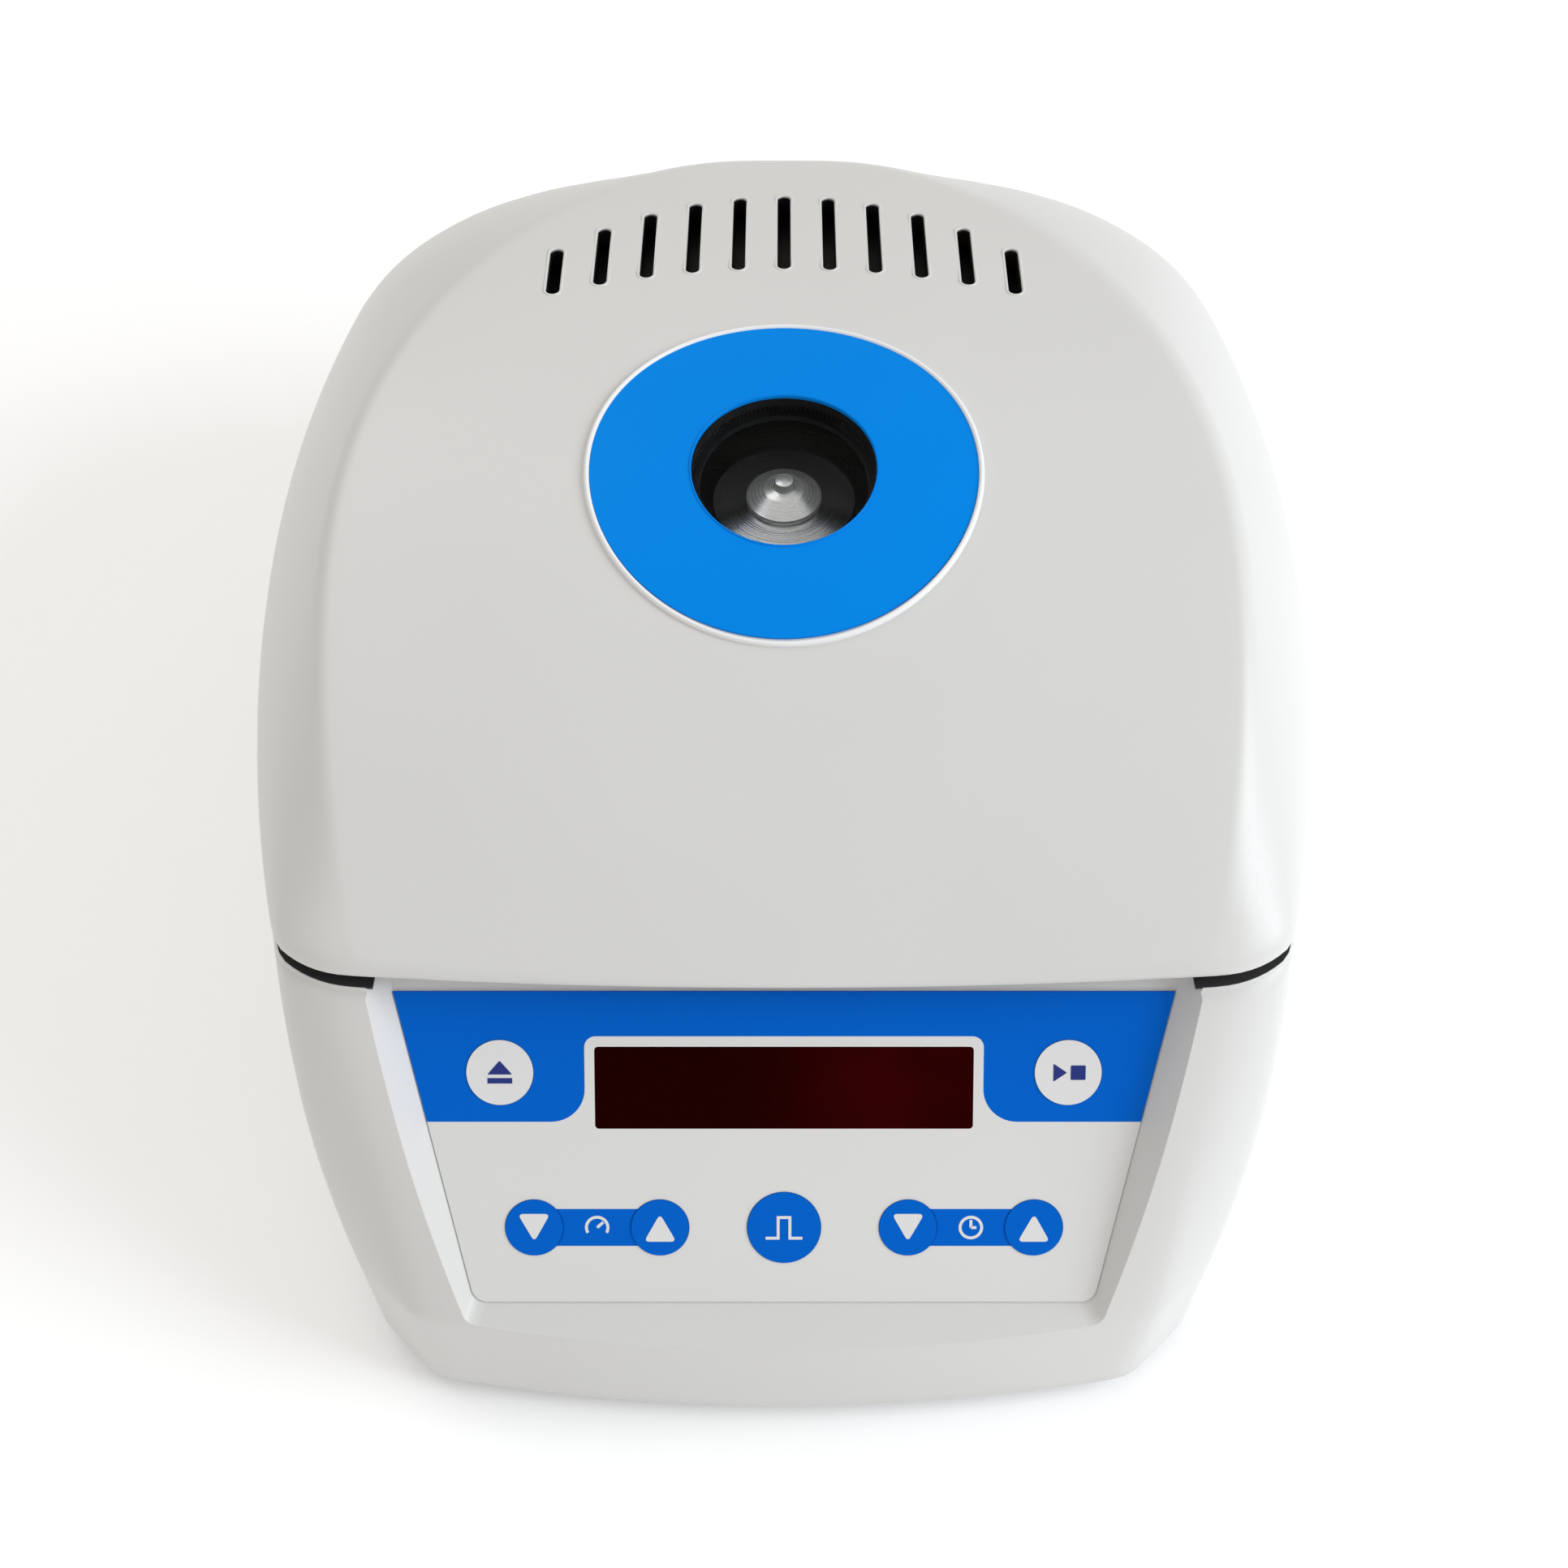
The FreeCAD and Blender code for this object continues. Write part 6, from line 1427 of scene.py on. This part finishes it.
def spindle_profile():
    """Radius and height of the rotor's section, corner by corner."""
    spindle = settings().spindle
    floor = spindle.rotor_top - spindle.funnel + spindle.funnel_floor
    return ((spindle.hub, spindle.rotor_bottom), (spindle.rotor_foot, spindle.rotor_bottom),
            (spindle.rotor, spindle.shoulder - spindle.rotor_edge), (spindle.rotor, spindle.shoulder),
            (spindle.rotor_rim, spindle.rotor_top), (spindle.funnel, spindle.rotor_top),
            (spindle.funnel_floor, floor), (spindle.hub, floor))


HOLE_SEGMENTS = 40
HOLE_LEAD = 3


def tube_hole(bearing):
    """A slanted rod where one tube sits."""
    spindle = settings().spindle
    mouth = Vector((spindle.tube_circle, 0.0, spindle.rotor_top - spindle.funnel + spindle.tube_circle))
    inward = Vector((-1.0, 0.0, 1.0)).normalized()
    start = mouth + inward * spindle.tube * HOLE_LEAD
    run = spindle.tube_depth + spindle.tube * HOLE_LEAD
    bm = bmesh.new()
    bmesh.ops.create_cone(bm, cap_ends=True, segments=HOLE_SEGMENTS, radius1=spindle.tube,
                          radius2=spindle.tube, depth=run)
    turn = inward.to_track_quat("Z", "Y").to_matrix().to_4x4()
    lie = Matrix.Translation(start - inward * run / 2) @ turn
    spin = Matrix.Translation((0.0, spindle.axis, 0.0)) @ Matrix.Rotation(bearing, 4, "Z")
    bmesh.ops.transform(bm, matrix=spin @ lie, verts=bm.verts)
    return bm


class CENTRIFUGE_OT_rotor(bpy.types.Operator):
    """Rotor with its slanted tube holes"""
    bl_idname = "centrifuge.rotor"
    bl_label = "Rotor"

    def execute(self, context):
        spindle = settings().spindle
        profile = rounded([Vector(point) for point in spindle_profile()], spindle.edge * 2, steps=3)
        bm = lathe(profile, (0.0, spindle.axis), ROTOR_SEGMENTS, hollow=True)
        holes = [tube_hole(math.tau * number / spindle.tubes) for number in range(spindle.tubes)]
        mesh = carve(bm, holes, "rotor_body")
        smooth(mesh, sharp=32.0)
        piece("rotor_body", mesh, rotor_material(), "spindle", ("rotor",))
        return {"FINISHED"}


# Feet, screws and the marks of the power switch
FOOT_SECTION = ((0.25, 0.4), (0.3, 0.0), (0.82, 0.0), (0.94, 0.1), (1.0, 0.35), (1.0, 1.0))
HEAD_SECTION = ((1.0, 0.0), (1.0, 0.35), (0.93, 0.62), (0.76, 0.85), (0.5, 0.97), (0.25, 1.0))
RECESS_REACH = 0.62
RECESS_FLOOR = 0.4


def cross_screw():
    """A round-headed screw with a cross recess, its seat at the origin and its head upwards."""
    fit = settings().fittings
    r = fit.screw_head
    h = fit.screw_height
    section = [(fit.screw_shank, -fit.screw_reach), (fit.screw_shank, 0.0)]
    section += [(r * across, h * up) for across, up in HEAD_SECTION]
    slot = fit.screw_slot / 2
    arm = r * RECESS_REACH
    low = h * RECESS_FLOOR
    cutters = [solid_box((-x, -y, low), (x, y, 2 * h)) for x, y in ((arm, slot), (slot, arm))]
    return carve(lathe(section, (0.0, 0.0), segments=48), cutters, "screw")


def rocker_face(side):
    """The middle of the rocker's upper or lower half: x across, y up, z out of its face."""
    fit = settings().fittings
    reach = fit.rocker_half / 2
    out = fit.rocker_front + reach * math.tan(fit.rocker_throw)
    local = Matrix.Translation((0.0, out, side * reach)) @ Matrix.Rotation(-side * fit.rocker_throw, 4, "X")
    axle = Matrix.Translation((fit.rocker_x, fit.rocker_y, fit.rocker_z))
    rest = axle @ Matrix.Rotation(fit.rocker_throw, 4, "X")
    facing = Matrix(((-1.0, 0.0, 0.0), (0.0, 0.0, 1.0), (0.0, 1.0, 0.0))).to_4x4()
    return rest @ local @ facing


class CENTRIFUGE_OT_feet(bpy.types.Operator):
    """Rubber feet"""
    bl_idname = "centrifuge.feet"
    bl_label = "Feet"

    def execute(self, context):
        fit = settings().fittings
        section = [(fit.foot * across, fit.foot_height * up) for across, up in FOOT_SECTION]
        bm = bmesh.new()
        for x in (-fit.foot_x, fit.foot_x):
            for y in (fit.front_foot, fit.back_foot):
                joined(bm, lathe(section, (x, y), segments=64))
        piece("foot_pads", finished_mesh(bm, "foot_pads"), rubber_material(), "base",
              ("rubber_feet",))
        return {"FINISHED"}


class CENTRIFUGE_OT_screws(bpy.types.Operator):
    """Cross-recessed screws of the hinges, the liner and the floor"""
    bl_idname = "centrifuge.screws"
    bl_label = "Screws"

    def execute(self, context):
        fit = settings().fittings
        shell = settings().shell
        lid = settings().lid
        axis = settings().spindle.axis
        leaf_x = [middle + end for middle in (-lid.hinge_x, lid.hinge_x)
                  for end in (-fit.leaf_step, fit.leaf_step)]
        leaf_y = shell.back + fit.leaf
        liner = [(x, axis + y, fit.liner_seat) for x in (-lid.post_x, lid.post_x)
                 for y in (-lid.post_y, lid.post_y)]
        floor = [(x, y, shell.foot) for x in (-fit.floor_x, fit.floor_x)
                 for y in (fit.floor_front, fit.floor_back)]
        backward = Matrix.Rotation(math.radians(-90), 4, "X")
        downward = Matrix.Rotation(math.radians(180), 4, "X")
        head = cross_screw()
        for name, body, node, spots, turn in (
                ("base_leaf_screws", "base", "hinge_base_screws",
                 [(x, leaf_y, fit.base_screw_z) for x in leaf_x], backward),
                ("lid_leaf_screws", "lid", "hinge_lid_screws",
                 [(x, leaf_y, fit.lid_screw_z) for x in leaf_x], backward),
                ("liner_fixings", "lid", "liner_screws", liner, downward),
                ("floor_fixings", "base", "bottom_screws", floor, downward)):
            bm = bmesh.new()
            for spot in spots:
                fresh = head.copy()
                fresh.transform(Matrix.Translation(spot) @ turn)
                bm.from_mesh(fresh)
                bpy.data.meshes.remove(fresh)
            piece(name, finished_mesh(bm, name, sharp=35.0), chrome_material(), body,
                  (node,))
        bpy.data.meshes.remove(head)
        return {"FINISHED"}


class CENTRIFUGE_OT_switch_marks(bpy.types.Operator):
    """Line and ring on the power switch"""
    bl_idname = "centrifuge.switch_marks"
    bl_label = "Switch marks"

    def execute(self, context):
        fit = settings().fittings
        tall = Vector((0.0, fit.switch_mark))
        bm = bmesh.new()
        for outline, side in ((stroke(-tall, tall, fit.switch_line), 1),
                              (arc_band(fit.switch_mark, fit.switch_line, 0.0, math.pi), -1),
                              (arc_band(fit.switch_mark, fit.switch_line, math.pi, math.tau), -1)):
            printed(bm, outline, rocker_face(side))
        piece("switch_marks", finished_mesh(bm, "switch_marks"), white_material(), "rocker")
        return {"FINISHED"}


# Finishes of the carried-over nodes
class CENTRIFUGE_OT_finishes(bpy.types.Operator):
    """Procedural finishes for the pieces that keep their shape"""
    bl_idname = "centrifuge.finishes"
    bl_label = "Finishes"

    def execute(self, context):
        colours = settings().colours
        film = moulded("printed_film", colours.film, rough=0.36, depth=0.00001, fine=2500.0,
                       spread=0.015, gloss=0.25)
        blue = moulded("panel_blue", colours.band, rough=0.34, depth=0.00001, fine=2500.0, spread=0.03,
                       gloss=0.04)
        board = moulded("coated_board", colours.board, rough=0.4, depth=0.00003, spread=0.2)
        steel = brushed_metal("brushed_steel", colours.steel, stretch=(1.0, 40.0, 40.0), low=0.24,
                              high=0.416)
        bowl = turned("spun_steel", colours.steel, low=0.25, high=0.42, depth=0.00002)
        hub = turned("turned_hub", colours.aluminium, low=0.07, high=0.2, depth=0.00008)
        copper = brushed_metal("winding_copper", colours.copper, stretch=(30.0, 30.0, 1.0), low=0.2625,
                               high=0.455)
        display = display_material("display_filter", colours.lens_dark, colours.lens_red, middle=0.004,
                                   reach=0.02)
        clear = clear_material("clear_pane")
        finishes = (
            (casing_material(), ("lid_shell", "base_housing")),
            (film, ("panel_overlay",)),
            (blue, ("blue_band", "legend_bars", "short_spin_key", "speed_down_key", "speed_up_key",
                    "time_down_key", "time_up_key")),
            (label_material(), ("window_label",)),
            (white_material(), ("window_ring",)),
            (grey_print(), ("lid_key", "start_stop_key")),
            (display, ("display_lens",)),
            (black_material(), ("port_tube", "lid_liner", "panel_carrier", "display_module", "key_switches",
                                "mains_inlet", "switch_bezel", "power_rocker", "supply_spacers",
                                "supply_components")),
            (rubber_material(), ("rubber_feet", "bowl_seal", "lid_gasket", "vibration_mounts")),
            (steel, ("bottom_plate", "motor_mount_plate", "latch_frame", "latch_hook", "hook_pin",
                     "lid_striker", "solenoid", "solenoid_plunger", "motor_bearings", "hinge_base_leaves",
                     "hinge_lid_leaves", "hinge_pins", "motor_rotor")),
            (bowl, ("rotor_bowl", "motor_housing")),
            (chrome_material(), ("bottom_screws", "motor_screws", "liner_screws", "hinge_base_screws",
                                 "hinge_lid_screws", "drive_shaft", "rotor_nut")),
            (rotor_material(), ("rotor",)),
            (hub, ("rotor_hub",)),
            (copper, ("motor_stator", "inlet_pins")),
            (clear, ("viewing_window",)),
            (board, ("control_board", "supply_board")),
        )
        for material, names in finishes:
            for name in names:
                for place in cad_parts[name].material_slots:
                    place.material = material
        return {"FINISHED"}


# Stage
class CENTRIFUGE_OT_stage(bpy.types.Operator):
    """Pale floor, soft studio light and the camera"""
    bl_idname = "centrifuge.stage"
    bl_label = "Stage"

    def execute(self, context):
        studio = settings().studio
        scene = context.scene
        bm = bmesh.new()
        bmesh.ops.create_grid(bm, x_segments=8, y_segments=8, size=studio.floor)
        mesh = bpy.data.meshes.new("floor")
        bm.to_mesh(mesh)
        bm.free()
        floor = bpy.data.objects.new("floor", mesh)
        scene.collection.objects.link(floor)
        paper = moulded("floor_paper", settings().colours.floor, rough=0.8, depth=0.00002, fine=300.0,
                        spread=0.01)
        shader = paper.node_tree.nodes["Principled BSDF"]
        shader.inputs["Emission Color"].default_value = (1.0, 1.0, 1.0, 1.0)
        shader.inputs["Emission Strength"].default_value = studio.glow
        mesh.materials.append(paper)
        world = bpy.data.worlds.new("studio")
        world.use_nodes = True
        background = world.node_tree.nodes["Background"]
        background.inputs["Color"].default_value = (*settings().colours.sky, 1.0)
        background.inputs["Strength"].default_value = studio.sky
        scene.world = world
        tints = settings().colours
        for name, power, tint, spot, side in (
                ("key_light", studio.key, tints.key_light, studio.key_place, studio.key_side),
                ("fill_light", studio.fill, tints.fill_light, studio.fill_place, studio.fill_side)):
            light = bpy.data.lights.new(name, "AREA")
            light.energy = power
            light.color = tint
            light.size = side
            lamp = bpy.data.objects.new(name, light)
            lamp.location = spot
            lamp.rotation_euler = (Vector(studio.aim) - Vector(spot)).to_track_quat("-Z", "Y").to_euler()
            scene.collection.objects.link(lamp)
        data = bpy.data.cameras.new("photo_camera")
        data.sensor_width = studio.sensor
        data.lens = studio.lens
        data.clip_start = 0.01
        camera = bpy.data.objects.new("photo_camera", data)
        camera.location = (0.0, studio.camera_y, studio.camera_z)
        camera.rotation_euler = (studio.camera_pitch, 0.0, 0.0)
        scene.collection.objects.link(camera)
        scene.camera = camera
        scene.view_settings.view_transform = "Standard"
        return {"FINISHED"}


# Panel and registration
class CENTRIFUGE_PT_panel(bpy.types.Panel):
    """Settings and steps of the dressed centrifuge"""
    bl_idname = "CENTRIFUGE_PT_panel"
    bl_label = "Centrifuge"
    bl_space_type = "VIEW_3D"
    bl_region_type = "UI"
    bl_category = "Centrifuge"

    def draw(self, context):
        for step in STEPS:
            self.layout.operator(step.bl_idname)


STEPS = (
    CENTRIFUGE_OT_lid,
    CENTRIFUGE_OT_slot_edges,
    CENTRIFUGE_OT_slot_shade,
    CENTRIFUGE_OT_port,
    CENTRIFUGE_OT_baffle,
    CENTRIFUGE_OT_posts,
    CENTRIFUGE_OT_base,
    CENTRIFUGE_OT_gap_shade,
    CENTRIFUGE_OT_marks,
    CENTRIFUGE_OT_nut,
    CENTRIFUGE_OT_rotor,
    CENTRIFUGE_OT_feet,
    CENTRIFUGE_OT_screws,
    CENTRIFUGE_OT_switch_marks,
    CENTRIFUGE_OT_finishes,
    CENTRIFUGE_OT_stage,
)
GROUPS = (ShellSizes, LidSizes, PanelSizes, SpindleSizes, FittingSizes, StudioSettings, Colours,
          CentrifugeSettings)


def register():
    for item in (*GROUPS, *STEPS, CENTRIFUGE_PT_panel):
        bpy.utils.register_class(item)
    bpy.types.Scene.centrifuge = PointerProperty(type=CentrifugeSettings, name="Centrifuge",
                                                 description="Settings of the dressed centrifuge")


def unregister():
    del bpy.types.Scene.centrifuge
    for item in reversed((*GROUPS, *STEPS, CENTRIFUGE_PT_panel)):
        bpy.utils.unregister_class(item)


def corners(box):
    """A box's two corners as plain lists."""
    return [list(corner) for corner in box]


def main():
    register()
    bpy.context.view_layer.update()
    for step in STEPS:
        space, name = step.bl_idname.split(".")
        getattr(getattr(bpy.ops, space), name)()


if __name__ == "__main__":
    main()
